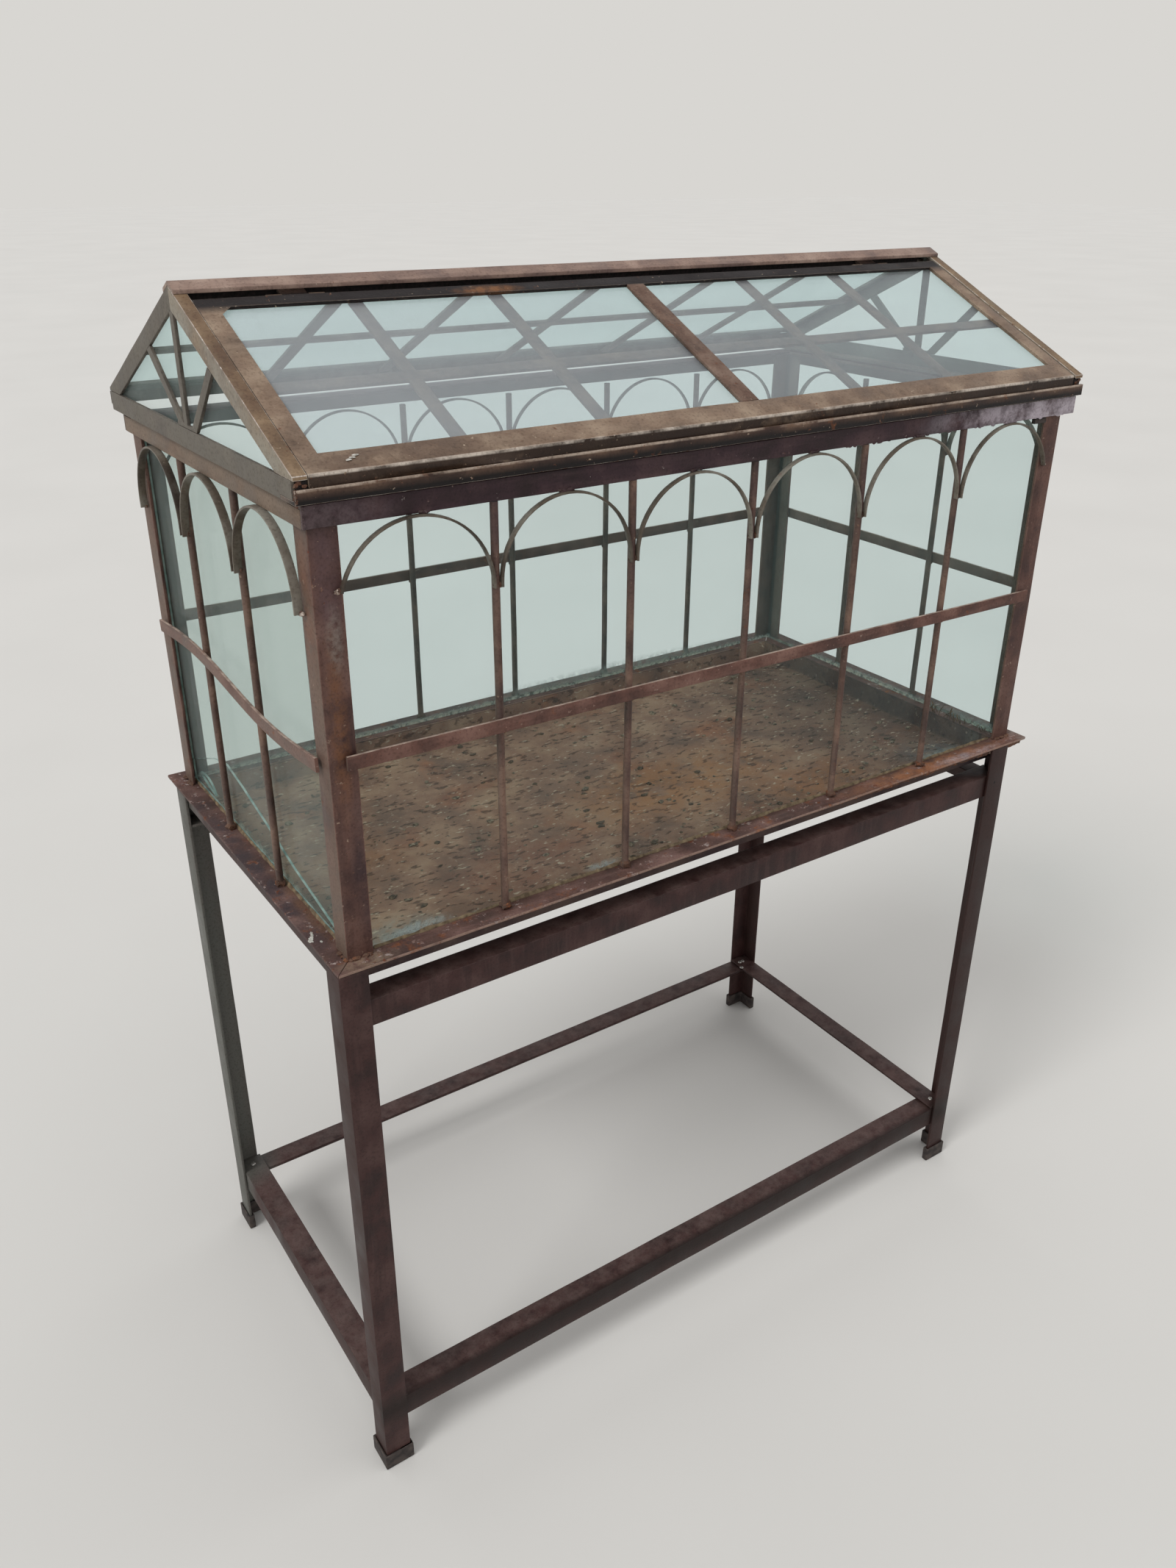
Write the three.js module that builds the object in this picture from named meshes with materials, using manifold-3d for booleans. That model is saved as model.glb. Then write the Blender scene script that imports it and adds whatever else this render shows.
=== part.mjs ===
// Glazed plant case with a gabled roof, standing on an angle-iron stand.
// Millimetres, +Z up. X runs along the long side, Y from the front to the back.
// The origin is on the floor, under the middle of the whole object.

import * as THREE from 'three';
import { mergeVertices } from 'three/addons/utils/BufferGeometryUtils.js';
import Module from 'manifold-3d';

const wasm = await Module();
wasm.setup();

// Clearance kept between two pieces that touch
const gap = 0.3;

// Steel sections
const angleThickness = 3;
const stripWidth = 12.7;
const stripThickness = 3;
const rodDiameter = 7;
const glassThickness = 3;

// Stand
const standLength = 868;
const standDepth = 438;
const standHeight = 640;
const legWidth = 28;
const capHeight = 20;
const capWall = 2.5;
const capFloor = 2;
const lowerRailTop = 93;
const lowerRailWidth = 28;
const upperRailTop = 604;
const upperRailReach = 25;
const upperRailDrop = 27;
const leftRailReach = 19;
const leftRailDrop = 14;

// Base of the case: flat flange and the tray that hangs inside it
const caseOverRight = 31;
const caseOverBack = 30.6;
const baseThickness = 3;
const trayLeft = 23;
const trayFront = 23;
const trayRightMargin = 37;
const trayBackMargin = 35.6;
const trayDrop = 24.3;
const trayWall = 3;

// Walls of the case
const caseHeight = 402;
const postWidth = 25;
const postInset = 16;
const glassInset = 23;
const topRailDrop = 18;
const topRailReach = 26;
const topRailOverRight = 1;
const topRailShortBack = 2.6;
const paneEndInset = 19.5;

// Lattice in front of each pane; rods and strip stand at shares of the wall
const frontRodShares = [0.19466, 0.34705, 0.49944, 0.65517, 0.8109];
const sideRodShares = [0.36278, 0.65301];
const archLeg = 3.5;
const archBite = 1;
const archThickness = 2;
const archOverPost = 6.5;
const frontArchFootLift = 19;
const frontArchDepth = [-6.5, -1.5];
const sideArchDepth = [-8.5, -0.9];
const stripBite = 0.5;
const midStripShare = 0.46692;
const midStripEnd = 30;
const frontStripTilt = 7;
const leftStripBow = 7;
const weldHeight = 9;
const weldBottomRadius = 6.3;
const weldTopRadius = 3.6;

// Roof
const roofLift = 1.5;
const roofLeft = 7;
const roofOverRight = 3;
const roofFront = 8;
const roofOverBack = 11.4;
const slopeFront = 10;
const slopeFoot = 20.7;
const ridgeHeight = 131.2;
const frontEaveHeight = 11;
const frontEaveReach = 28;
const sideEaveHeight = 17.5;
const sideEaveReach = 23;
const sideEaveStart = 13.3;
const rafterWidth = 12;
const rafterDrop = 16.8;
const capWidth = 14.5;
const capThickness = 3;
const backRailWidth = 12;
const backRailFoot = 5;
const pegLength = 12;
const pegWidth = 5;
const pegRoot = 1;
const frontPegShares = [0.16685, 0.50056, 0.83426];
const sidePegShares = [0.59966, 0.93];
const traceryWidth = 9;
const traceryFeet = [-20, 8.5];
const traceryLeanShares = [-1.05, 1.26];
const traceryWeldHeight = 3;
const traceryWeldReach = 22;
const backStripShares = [0.18354, 0.3337, 0.49833, 0.66407, 0.81201];
const backCrossShare = 0.51782;
const backGlassEdge = 13.9;
const backGlassStart = 6;
const backTopStrip = 20;
const ridgeBarLap = 1.5;
const ridgeBarWidth = 14;
const ridgeBarThickness = 2;
const ridgeBarFoot = 8;

// Hinged sash in the front slope, measured across and along the slope
const sashSideLeft = 0.5;
const sashSideRight = 3.5;
const sashShort = 22.78;
const sashFrontRail = 23.5;
const sashTopRail = 13;
const sashStile = 17;
const sashLip = 9.6;
const sashTopLip = 8;
const sashGlassStart = 4;
const sashGlassShort = 9;
const mullionWidth = 20;
const sashCrossShare = 0.49784;
const sashMuntinShares = [0.17909, 0.3337, 0.66407, 0.80868];
const hingeOffset = 4;
const hingeBelow = 5;
const knuckleRadius = 3;
const knuckleLength = 24;
const sideKnuckleLength = 14;
const leafThickness = 3;
const leafLength = 15;
const leafRiserStart = 10;
const sashLeafLength = 10;
const sashLeafSink = 1;
const hingeShares = [0.12236, 0.87875];

// Round counts
const rodSides = 10;
const archSteps = 12;
const knuckleSides = 14;
const weldSides = 10;
const curveSteps = 8;
const half = 0.5;

// Derived sizes
const quarterTurn = Math.PI * half;
const rodRadius = rodDiameter * half;
const baseLength = standLength + caseOverRight;
const baseDepth = standDepth + caseOverBack;
const trayRight = baseLength - trayRightMargin;
const trayBack = baseDepth - trayBackMargin;
const topRailRight = baseLength + topRailOverRight;
const topRailBack = baseDepth - topRailShortBack;
const roofRight = baseLength + roofOverRight;
const roofBack = baseDepth + roofOverBack;
const alongWall = (share) => share * baseLength;
const frontRods = frontRodShares.map(alongWall);
const sideRods = sideRodShares.map((share) => share * baseDepth);
const frontPegs = frontPegShares.map(alongWall);
const sidePegs = sidePegShares.map((share) => share * baseDepth);
const backStrips = backStripShares.map(alongWall);
const sashMuntins = sashMuntinShares.map(alongWall);
const hinges = hingeShares.map(alongWall);
const midStripHeight = midStripShare * caseHeight;
const ridgeAlongY = (roofFront + roofBack) * half;
const slopeBack = ridgeAlongY + (ridgeAlongY - slopeFront);
const slopeRun = ridgeAlongY - slopeFront;
const slopeAngle = Math.atan2(ridgeHeight - slopeFoot, slopeRun);
const slopeLength = Math.hypot(ridgeHeight - slopeFoot, slopeRun);
const backCrossStrip = backCrossShare * slopeLength;
const sashLeft = roofLeft + rafterWidth + sashSideLeft;
const sashRight = roofRight - rafterWidth - sashSideRight;
const sashEnd = slopeLength - sashShort;
const sashGlassEnd = sashEnd - sashGlassShort;
const sashCross = sashCrossShare * sashEnd;
const hingeAlong = sashEnd + hingeOffset;
const slopeRise = Math.tan(slopeAngle);
const acrossSlope = Math.cos(slopeAngle);
const upSlope = Math.sin(slopeAngle);
const upright = (thickness) => thickness / acrossSlope;
const caseBottom = standHeight + gap;
const roofBottom = caseBottom + caseHeight + roofLift;
const postTop = caseHeight - angleThickness - gap;
const wallBottom = baseThickness + gap;
const railOuter = postInset - angleThickness - gap;
const railUnderside = caseHeight - topRailDrop;
const latticeTop = railUnderside - gap;
const bayEdges = (rods, span) => [postInset + postWidth, ...rods, span - postInset - postWidth];
const bayWidths = (edges) => edges.slice(1).map((to, index) => to - edges[index]);
const widestBay = Math.max(
  ...bayWidths(bayEdges(frontRods, baseLength)), ...bayWidths(bayEdges(sideRods, baseDepth)));
const archFoot = latticeTop - (widestBay - rodDiameter) * half - archLeg;
const footReach = capWall;
const middleX = (roofRight - footReach) * half;
const middleY = (roofBack - footReach) * half;

// Materials, with the colours of the old paint and rust
const standPaint = paint(0x41322f, 0.62, 0.35);
const rubberFoot = paint(0x2e2624, 0.8, 0);
const casePaint = paint(0x5c3f3a, 0.6, 0.35);
const worn = paint(0x86675b, 0.65, 0.3);
const greyPaint = paint(0x8a8780, 0.6, 0.3);
const traySteel = paint(0x5a4a38, 0.85, 0.2);
const paneGlass = paint(0xb4c4c0, 0.1, 0);

function paint(colour, roughness, metalness) {
  return new THREE.MeshStandardMaterial({ color: colour, roughness, metalness });
}

function outlineShape(points) {
  return new THREE.Shape(points.map(([first, second]) => new THREE.Vector2(first, second)));
}

// Directions in which an outline's two axes and its length lie, for a bar along X, Y or Z.
// Outlines are (y, z) pairs for a bar along X, (x, z) for Y and (x, y) for Z.
const alongX = new THREE.Matrix4().makeBasis(
  new THREE.Vector3(0, 1, 0), new THREE.Vector3(0, 0, 1), new THREE.Vector3(1, 0, 0));
const alongY = new THREE.Matrix4().makeBasis(
  new THREE.Vector3(0, 0, 1), new THREE.Vector3(1, 0, 0), new THREE.Vector3(0, 1, 0));
const alongZ = new THREE.Matrix4();

function bar(direction, points, from, to) {
  const flat = direction === alongY ? points.map(([x, z]) => [z, x]) : points;
  const geometry = new THREE.ExtrudeGeometry(outlineShape(flat), { depth: to - from, bevelEnabled: false });
  geometry.translate(0, 0, from);
  geometry.applyMatrix4(direction);
  return geometry;
}

// Box between two corners
function block(x, y, z) {
  const geometry = new THREE.BoxGeometry(x[1] - x[0], y[1] - y[0], z[1] - z[0]);
  geometry.translate((x[0] + x[1]) * half, (y[0] + y[1]) * half, (z[0] + z[1]) * half);
  return geometry;
}

// L outline from its outer corner; the signs of the arms say which way they run
function angleOutline(corner, armOne, armTwo, thickness) {
  const [a, b] = corner;
  const ta = Math.sign(armOne) * thickness;
  const tb = Math.sign(armTwo) * thickness;
  return [
    [a, b], [a + armOne, b], [a + armOne, b + tb],
    [a + ta, b + tb], [a + ta, b + armTwo], [a, b + armTwo],
  ];
}

// Flat ribbon of one width laid along a row of points
function ribbonOutline(points, width) {
  const sides = points.map((point, index) => {
    const before = points[Math.max(index - 1, 0)];
    const after = points[Math.min(index + 1, points.length - 1)];
    const length = Math.hypot(after[0] - before[0], after[1] - before[1]);
    const normal = [(before[1] - after[1]) / length, (after[0] - before[0]) / length];
    return [-1, 1].map((side) => point.map((value, axis) => value + side * normal[axis] * width * half));
  });
  return [...sides.map((pair) => pair[0]), ...sides.map((pair) => pair[1]).reverse()];
}

function toSolid(geometry) {
  const bare = geometry.clone();
  bare.deleteAttribute('normal');
  bare.deleteAttribute('uv');
  const merged = mergeVertices(bare);
  return new wasm.Manifold(new wasm.Mesh({
    numProp: 3,
    vertProperties: new Float32Array(merged.attributes.position.array),
    triVerts: new Uint32Array(merged.index.array),
  }));
}

function toGeometry(solid) {
  const mesh = solid.getMesh();
  const geometry = new THREE.BufferGeometry();
  geometry.setAttribute('position', new THREE.BufferAttribute(new Float32Array(mesh.vertProperties), 3));
  geometry.setIndex(new THREE.BufferAttribute(new Uint32Array(mesh.triVerts), 1));
  geometry.computeVertexNormals();
  return geometry;
}

function join(...pieces) {
  return toGeometry(pieces.map(toSolid).reduce((whole, piece) => whole.add(piece)));
}

function cut(piece, tool) {
  return toGeometry(toSolid(piece).subtract(toSolid(tool)));
}

function addPiece(group, name, geometry, material) {
  const mesh = new THREE.Mesh(geometry, material);
  mesh.name = name;
  group.add(mesh);
  return mesh;
}

// Four corners, in the order in which a corner piece turns a quarter turn each time
const cornerNames = ['front_left', 'front_right', 'back_right', 'back_left'];
function corners(left, right, front, back) {
  return [[left, front], [right, front], [right, back], [left, back]];
}

// Stand
const stand = new THREE.Group();

const legOutline = angleOutline([0, 0], legWidth, legWidth, angleThickness);
const legGeometry = bar(alongZ, legOutline, capFloor + gap, standHeight);
const capArm = legWidth + capWall + capWall;
const capSolid = angleThickness + capWall + capWall;
const channelArm = legWidth + gap + gap;
const capGeometry = cut(
  bar(alongZ, angleOutline([-capWall, -capWall], capArm, capArm, capSolid), 0, capHeight),
  bar(alongZ, angleOutline([-gap, -gap], channelArm, channelArm, angleThickness + gap + gap),
    capFloor, capHeight + capFloor));

corners(0, standLength, 0, standDepth).forEach(([x, y], index) => {
  const leg = addPiece(stand, `stand_leg_${cornerNames[index]}`, legGeometry, standPaint);
  const cap = addPiece(stand, `foot_cap_${cornerNames[index]}`, capGeometry, rubberFoot);
  [leg, cap].forEach((piece) => {
    piece.position.set(x, y, 0);
    piece.rotation.z = index * quarterTurn;
  });
});

const railStart = angleThickness + gap;
const crossStart = railStart + angleThickness + gap;
const railEndX = standLength - railStart;
const railEndY = standDepth - railStart;
const lappedTop = lowerRailTop - angleThickness - gap;

addPiece(stand, 'lower_rail_left', bar(alongY, angleOutline([railStart, lowerRailTop],
  lowerRailWidth, -lowerRailWidth, angleThickness), railStart, railEndY), standPaint);
addPiece(stand, 'lower_rail_right', bar(alongY, angleOutline([railEndX, lowerRailTop],
  -lowerRailWidth, -lowerRailWidth, angleThickness), railStart, railEndY), standPaint);
addPiece(stand, 'lower_rail_front', bar(alongX, angleOutline([railStart, lappedTop],
  lowerRailWidth, -lowerRailWidth, angleThickness), crossStart, standLength - crossStart), standPaint);
addPiece(stand, 'lower_rail_back', bar(alongX, angleOutline([railEndY, lappedTop],
  -lowerRailWidth, -lowerRailWidth, angleThickness), crossStart, standLength - crossStart), standPaint);

addPiece(stand, 'upper_rail_front', bar(alongX, angleOutline([railStart, upperRailTop],
  upperRailReach, -upperRailDrop, angleThickness), railStart, railEndX), standPaint);
addPiece(stand, 'upper_rail_back', bar(alongX, angleOutline([railEndY, upperRailTop],
  -upperRailReach, -upperRailDrop, angleThickness), railStart, railEndX), standPaint);
addPiece(stand, 'upper_rail_left', bar(alongY, angleOutline([railStart, standHeight],
  leftRailReach, -leftRailDrop, angleThickness), railStart, railEndY), standPaint);
addPiece(stand, 'upper_rail_right', bar(alongY, angleOutline([railEndX, upperRailTop - angleThickness - gap],
  -upperRailReach, -upperRailDrop, angleThickness), crossStart, standDepth - crossStart), standPaint);

// Base of the case: four flat bars that meet on the diagonal, round the tray
const glazed = new THREE.Group();
glazed.position.z = caseBottom;

const innerLeft = trayLeft - gap;
const innerRight = trayRight + gap;
const innerFront = trayFront - gap;
const innerBack = trayBack + gap;
const baseBars = {
  base_flange_front: [[gap, 0], [baseLength - gap, 0],
    [innerRight - gap, innerFront], [innerLeft + gap, innerFront]],
  base_flange_back: [[gap, baseDepth], [innerLeft + gap, innerBack],
    [innerRight - gap, innerBack], [baseLength - gap, baseDepth]],
  base_flange_left: [
    [0, gap], [innerLeft, innerFront + gap], [innerLeft, innerBack - gap], [0, baseDepth - gap],
  ],
  base_flange_right: [[baseLength, gap], [baseLength, baseDepth - gap],
    [innerRight, innerBack - gap], [innerRight, innerFront + gap]],
};
Object.entries(baseBars).forEach(([name, points]) => {
  addPiece(glazed, name, bar(alongZ, points, 0, baseThickness), casePaint);
});

addPiece(glazed, 'tray', cut(
  block([trayLeft, trayRight], [trayFront, trayBack], [-trayDrop, baseThickness]),
  block([trayLeft + trayWall, trayRight - trayWall], [trayFront + trayWall, trayBack - trayWall],
    [trayWall - trayDrop, baseThickness + baseThickness])), traySteel);

// Corner posts
const postOutline = angleOutline([0, 0], postWidth, postWidth, angleThickness);
const postGeometry = bar(alongZ, postOutline, wallBottom, postTop);
corners(postInset, baseLength - postInset, postInset, baseDepth - postInset).forEach(([x, y], index) => {
  const post = addPiece(glazed, `post_${cornerNames[index]}`, postGeometry, casePaint);
  post.position.set(x, y, 0);
  post.rotation.z = index * quarterTurn;
});

// Rails round the top of the walls; the side rails fit between the long ones
addPiece(glazed, 'top_rail_front', bar(alongX, angleOutline([railOuter, caseHeight],
  topRailReach, -topRailDrop, angleThickness), railOuter, topRailRight), casePaint);
addPiece(glazed, 'top_rail_back', bar(alongX, angleOutline([topRailBack, caseHeight],
  -topRailReach, -topRailDrop, angleThickness), railOuter, topRailRight), casePaint);

const flangeEnds = [railOuter + topRailReach + gap, topRailBack - topRailReach - gap];
const plateEnds = [railOuter + angleThickness + gap, topRailBack - angleThickness - gap];
function sideTopRail(outer, inward) {
  const spread = (reach) => [outer, outer + inward * reach].sort((a, b) => a - b);
  return join(
    block(spread(angleThickness), plateEnds, [railUnderside, postTop]),
    block(spread(angleThickness), flangeEnds, [railUnderside, caseHeight]),
    block(spread(topRailReach), flangeEnds, [caseHeight - angleThickness, caseHeight]));
}
addPiece(glazed, 'top_rail_left', sideTopRail(railOuter, 1), worn);
addPiece(glazed, 'top_rail_right', sideTopRail(topRailRight, -1), casePaint);

// Panes of the walls
const paneDepth = [glassInset, glassInset + glassThickness];
const farPaneY = paneDepth.map((value) => baseDepth - value).reverse();
const farPaneX = paneDepth.map((value) => baseLength - value).reverse();
const longPaneX = [paneEndInset, baseLength - paneEndInset];
const sidePaneY = [paneDepth[1] + gap, farPaneY[0] - gap];
const paneZ = [wallBottom, postTop];
addPiece(glazed, 'pane_front', block(longPaneX, paneDepth, paneZ), paneGlass);
addPiece(glazed, 'pane_back', block(longPaneX, farPaneY, paneZ), paneGlass);
addPiece(glazed, 'pane_left', block(paneDepth, sidePaneY, paneZ), paneGlass);
addPiece(glazed, 'pane_right', block(farPaneX, sidePaneY, paneZ), paneGlass);

// Lattices: round rods, one flat strip across them, and a row of arches under the top rail.
// Across the lattice is X, its depth is Y with the glass on the +Y side.
// An arch is a narrow flat bar. Its foot stands on a rod, or laps over the face of a corner post.
function arch(from, to, feet, depth) {
  const middle = (from + to) * half;
  const outer = (to - from) * half;
  const inner = outer - archThickness;
  const centre = latticeTop - outer;
  const [start, end] = [feet[1], feet[0]].map((foot) => Math.asin(Math.max(0, foot - centre) / outer));
  const arc = (radius, reverse) => Array.from({ length: archSteps + 1 }, (unused, step) => {
    const share = reverse ? 1 - step / archSteps : step / archSteps;
    const angle = start + (Math.PI - start - end) * share;
    return [middle + radius * Math.cos(angle), centre + radius * Math.sin(angle)];
  });
  const leg = (radius, foot) => (foot < centre ? [[middle + radius, foot]] : []);
  const points = [
    ...leg(outer, feet[1]), ...arc(outer, false), ...leg(-outer, feet[0]),
    ...leg(-inner, feet[0]), ...arc(inner, true), ...leg(inner, feet[1]),
  ];
  return bar(alongX, points, -depth[1], -depth[0]).rotateZ(-quarterTurn);
}

function lattice(rods, span, strip, archDepth, freeFoot) {
  const edges = bayEdges(rods, span);
  const pieces = [];
  rods.forEach((x) => {
    const rod = new THREE.CylinderGeometry(rodRadius, rodRadius, latticeTop - wallBottom, rodSides);
    rod.rotateX(quarterTurn);
    rod.translate(x, 0, (latticeTop + wallBottom) * half);
    const weld = new THREE.CylinderGeometry(weldTopRadius, weldBottomRadius, weldHeight, weldSides);
    weld.rotateX(quarterTurn);
    weld.translate(x, 0, wallBottom + weldHeight * half);
    pieces.push(rod, weld);
  });
  const stripBack = stripBite - rodRadius;
  const ribbon = ribbonOutline(strip, stripWidth);
  const flat = new THREE.ExtrudeGeometry(outlineShape(ribbon), {
    depth: stripThickness, bevelEnabled: false,
  });
  flat.rotateX(quarterTurn);
  flat.translate(0, stripBack, 0);
  pieces.push(flat);
  edges.slice(1).forEach((to, index) => {
    const from = edges[index];
    const fromFree = index === 0;
    const toFree = index === rods.length;
    const start = from + (fromFree ? -archOverPost : rodRadius - archBite);
    const end = to - (toFree ? -archOverPost : rodRadius - archBite);
    pieces.push(arch(start, end, [fromFree ? freeFoot : archFoot, toFree ? freeFoot : archFoot], archDepth));
  });
  return join(...pieces);
}

function straightStrip(span, startHeight, endHeight) {
  return [[midStripEnd, startHeight], [span - midStripEnd, endHeight]];
}

function bowedStrip(span, height, bow) {
  const run = span - midStripEnd - midStripEnd;
  return Array.from({ length: curveSteps + 1 }, (unused, step) => {
    const share = step / curveSteps;
    return [midStripEnd + run * share, height + bow * Math.sin(Math.PI * (share + share))];
  });
}

const frontArchFoot = archFoot + frontArchFootLift;
const mirrored = (places, span) => places.map((place) => span - place);
const tiltedStrip = straightStrip(baseLength,
  midStripHeight + frontStripTilt * half, midStripHeight - frontStripTilt * half);
const longStrip = straightStrip(baseLength, midStripHeight, midStripHeight);
const sideStrip = straightStrip(baseDepth, midStripHeight, midStripHeight);
const bentStrip = bowedStrip(baseDepth, midStripHeight, leftStripBow);
const backRods = mirrored(frontRods, baseLength).reverse();
const leftRods = mirrored(sideRods, baseDepth).reverse();
const latticePlaces = {
  lattice_front: [lattice(frontRods, baseLength, tiltedStrip, frontArchDepth, frontArchFoot),
    0, postInset, 0],
  lattice_right: [lattice(sideRods, baseDepth, sideStrip, sideArchDepth, archFoot),
    baseLength - postInset, 0, 1],
  lattice_back: [lattice(backRods, baseLength, longStrip, frontArchDepth, frontArchFoot),
    baseLength, baseDepth - postInset, 2],
  lattice_left: [lattice(leftRods, baseDepth, bentStrip, sideArchDepth, archFoot), postInset, baseDepth, -1],
};
Object.entries(latticePlaces).forEach(([name, [geometry, x, y, turns]]) => {
  const piece = addPiece(glazed, name, geometry, casePaint);
  piece.position.set(x, y, 0);
  piece.rotation.z = turns * quarterTurn;
});

// Roof: a frame of its own that sits on the top rails on small pegs
const roof = new THREE.Group();
roof.position.z = roofBottom;

const pegFoot = gap - roofLift;
const peg = (x, y) => block([x, x + pegLength], [y, y + pegWidth], [pegFoot, pegRoot]);
const frontEave = bar(alongX, angleOutline([roofFront, 0], frontEaveReach, frontEaveHeight, angleThickness),
  roofLeft, roofRight);
const eavePegY = railOuter + angleThickness;
addPiece(roof, 'eave_rail_front', join(frontEave, ...frontPegs.map((x) => peg(x, eavePegY))), casePaint);

const sideFlangeEnds = [roofFront + frontEaveReach + gap, roofBack - angleThickness - gap];
const sidePlateEnds = [sideEaveStart, roofBack - angleThickness - gap];
function sideEave(outer, inward) {
  const spread = (start, reach) => [outer + inward * start, outer + inward * reach].sort((a, b) => a - b);
  return join(
    block(spread(0, angleThickness), sidePlateEnds, [angleThickness + gap, sideEaveHeight]),
    block(spread(0, angleThickness), sideFlangeEnds, [0, sideEaveHeight]),
    block(spread(0, sideEaveReach), sideFlangeEnds, [0, angleThickness]),
    ...sidePegs.map((y) => block(spread(pegLength, pegLength + pegWidth),
      [y - pegLength, y], [pegFoot, pegRoot])));
}
addPiece(roof, 'eave_rail_left', sideEave(roofLeft, 1), greyPaint);
addPiece(roof, 'eave_rail_right', sideEave(roofRight, -1), greyPaint);

// Height of the slope's top face, and of a line below it, on the front or the back half
const slopeAt = (y) => ridgeHeight - slopeRise * Math.abs(y - ridgeAlongY);
const below = (y, depth) => slopeAt(y) - upright(depth);

// Rafters: one flange lies in the slope, the other in the gable
const rafterFoot = sideEaveHeight + gap;
const rafterTopY = ridgeAlongY - gap * half;
const gableFlangeFootY = slopeFront + (rafterFoot - below(slopeFront, rafterDrop)) / slopeRise;
const gableFlange = [
  [slopeFront, rafterFoot], [slopeFront, slopeFoot], [rafterTopY, slopeAt(rafterTopY)],
  [rafterTopY, below(rafterTopY, rafterDrop)], [gableFlangeFootY, rafterFoot],
];
const slopeFlange = [
  [slopeFront, below(slopeFront, angleThickness)], [slopeFront, slopeFoot],
  [rafterTopY, slopeAt(rafterTopY)], [rafterTopY, below(rafterTopY, angleThickness)],
];
const toBack = (points) => points.map(([y, z]) => [ridgeAlongY + ridgeAlongY - y, z]);
const rafter = (gable, slope, outer, inward) => {
  const flangeX = [outer, outer + inward * angleThickness].sort((a, b) => a - b);
  const slopeX = [outer, outer + inward * rafterWidth].sort((a, b) => a - b);
  return join(bar(alongX, gable, flangeX[0], flangeX[1]), bar(alongX, slope, slopeX[0], slopeX[1]));
};
addPiece(roof, 'rafter_front_left', rafter(gableFlange, slopeFlange, roofLeft, 1), worn);
addPiece(roof, 'rafter_front_right', rafter(gableFlange, slopeFlange, roofRight, -1), worn);
const backGableFlange = toBack(gableFlange);
const backSlopeFlange = toBack(slopeFlange);
addPiece(roof, 'rafter_back_left', rafter(backGableFlange, backSlopeFlange, roofLeft, 1), greyPaint);
addPiece(roof, 'rafter_back_right', rafter(backGableFlange, backSlopeFlange, roofRight, -1), greyPaint);

// Ridge cap: folded over the rafters' tops, with the sash's hinge leaves under its front edge.
// Positions along and below the slope turn into the roof's own Y and Z here.
const onSlope = (along, normal) => [
  slopeFront + along * acrossSlope - normal * upSlope,
  slopeFoot + along * upSlope + normal * acrossSlope,
];
const slopeBlock = (x, along, normal) => bar(alongX, [
  onSlope(along[0], normal[0]), onSlope(along[1], normal[0]),
  onSlope(along[1], normal[1]), onSlope(along[0], normal[1]),
], x[0], x[1]);
const capEdgeY = ridgeAlongY - capWidth * acrossSlope;
const capFarY = ridgeAlongY + capWidth * acrossSlope;
const capUnder = upright(gap);
const capOver = upright(gap + capThickness);
const capOutline = [
  [capEdgeY, slopeAt(capEdgeY) + capUnder], [ridgeAlongY, ridgeHeight + capUnder],
  [capFarY, slopeAt(capFarY) + capUnder], [capFarY, slopeAt(capFarY) + capOver],
  [ridgeAlongY, ridgeHeight + capOver], [capEdgeY, slopeAt(capEdgeY) + capOver],
];
const barrel = (x, y, z, length) => {
  const geometry = new THREE.CylinderGeometry(knuckleRadius, knuckleRadius, length, knuckleSides);
  geometry.rotateZ(quarterTurn);
  geometry.translate(x, y, z);
  return geometry;
};
const leafNormal = [-hingeBelow - leafThickness * half, -hingeBelow + leafThickness * half];
const fixedHinge = (x) => {
  const [y, z] = onSlope(hingeAlong, -hingeBelow);
  const width = [x - knuckleLength * half, x + knuckleLength * half];
  const leafEnd = hingeAlong + leafLength;
  return [
    barrel(x, y, z, knuckleLength),
    slopeBlock(width, [hingeAlong + leafThickness * half, leafEnd], leafNormal),
    slopeBlock(width, [hingeAlong + leafRiserStart, hingeAlong + leafRiserStart + leafThickness],
      [leafNormal[0], gap + angleThickness * half]),
  ];
};
addPiece(roof, 'ridge_cap', join(bar(alongX, capOutline, roofLeft, roofRight), ...hinges.flatMap(fixedHinge)),
  casePaint);

// Ridge bar: the flat bar that the sash's top rail rests on, with a foot up to each front rafter
const underFlange = angleThickness + gap;
const ridgeBarEnd = sashEnd - ridgeBarLap + ridgeBarWidth;
const ridgeBarTop = -sashTopLip - gap;
const gableGlassX = [roofLeft + underFlange, roofLeft + underFlange + glassThickness];
const ridgeBarX = [gableGlassX[1] + gap, roofLeft + roofRight - gableGlassX[1] - gap];
const ridgeBarFeet = [
  [ridgeBarX[0], roofLeft + rafterWidth],
  [roofRight - rafterWidth, ridgeBarX[1]],
].map((width) => slopeBlock(width, [ridgeBarEnd - ridgeBarFoot, ridgeBarEnd],
  [ridgeBarTop - ridgeBarThickness, -underFlange]));
addPiece(roof, 'ridge_bar', join(
  slopeBlock(ridgeBarX, [sashEnd - ridgeBarLap, ridgeBarEnd], [ridgeBarTop - ridgeBarThickness, ridgeBarTop]),
  ...ridgeBarFeet), casePaint);

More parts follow.
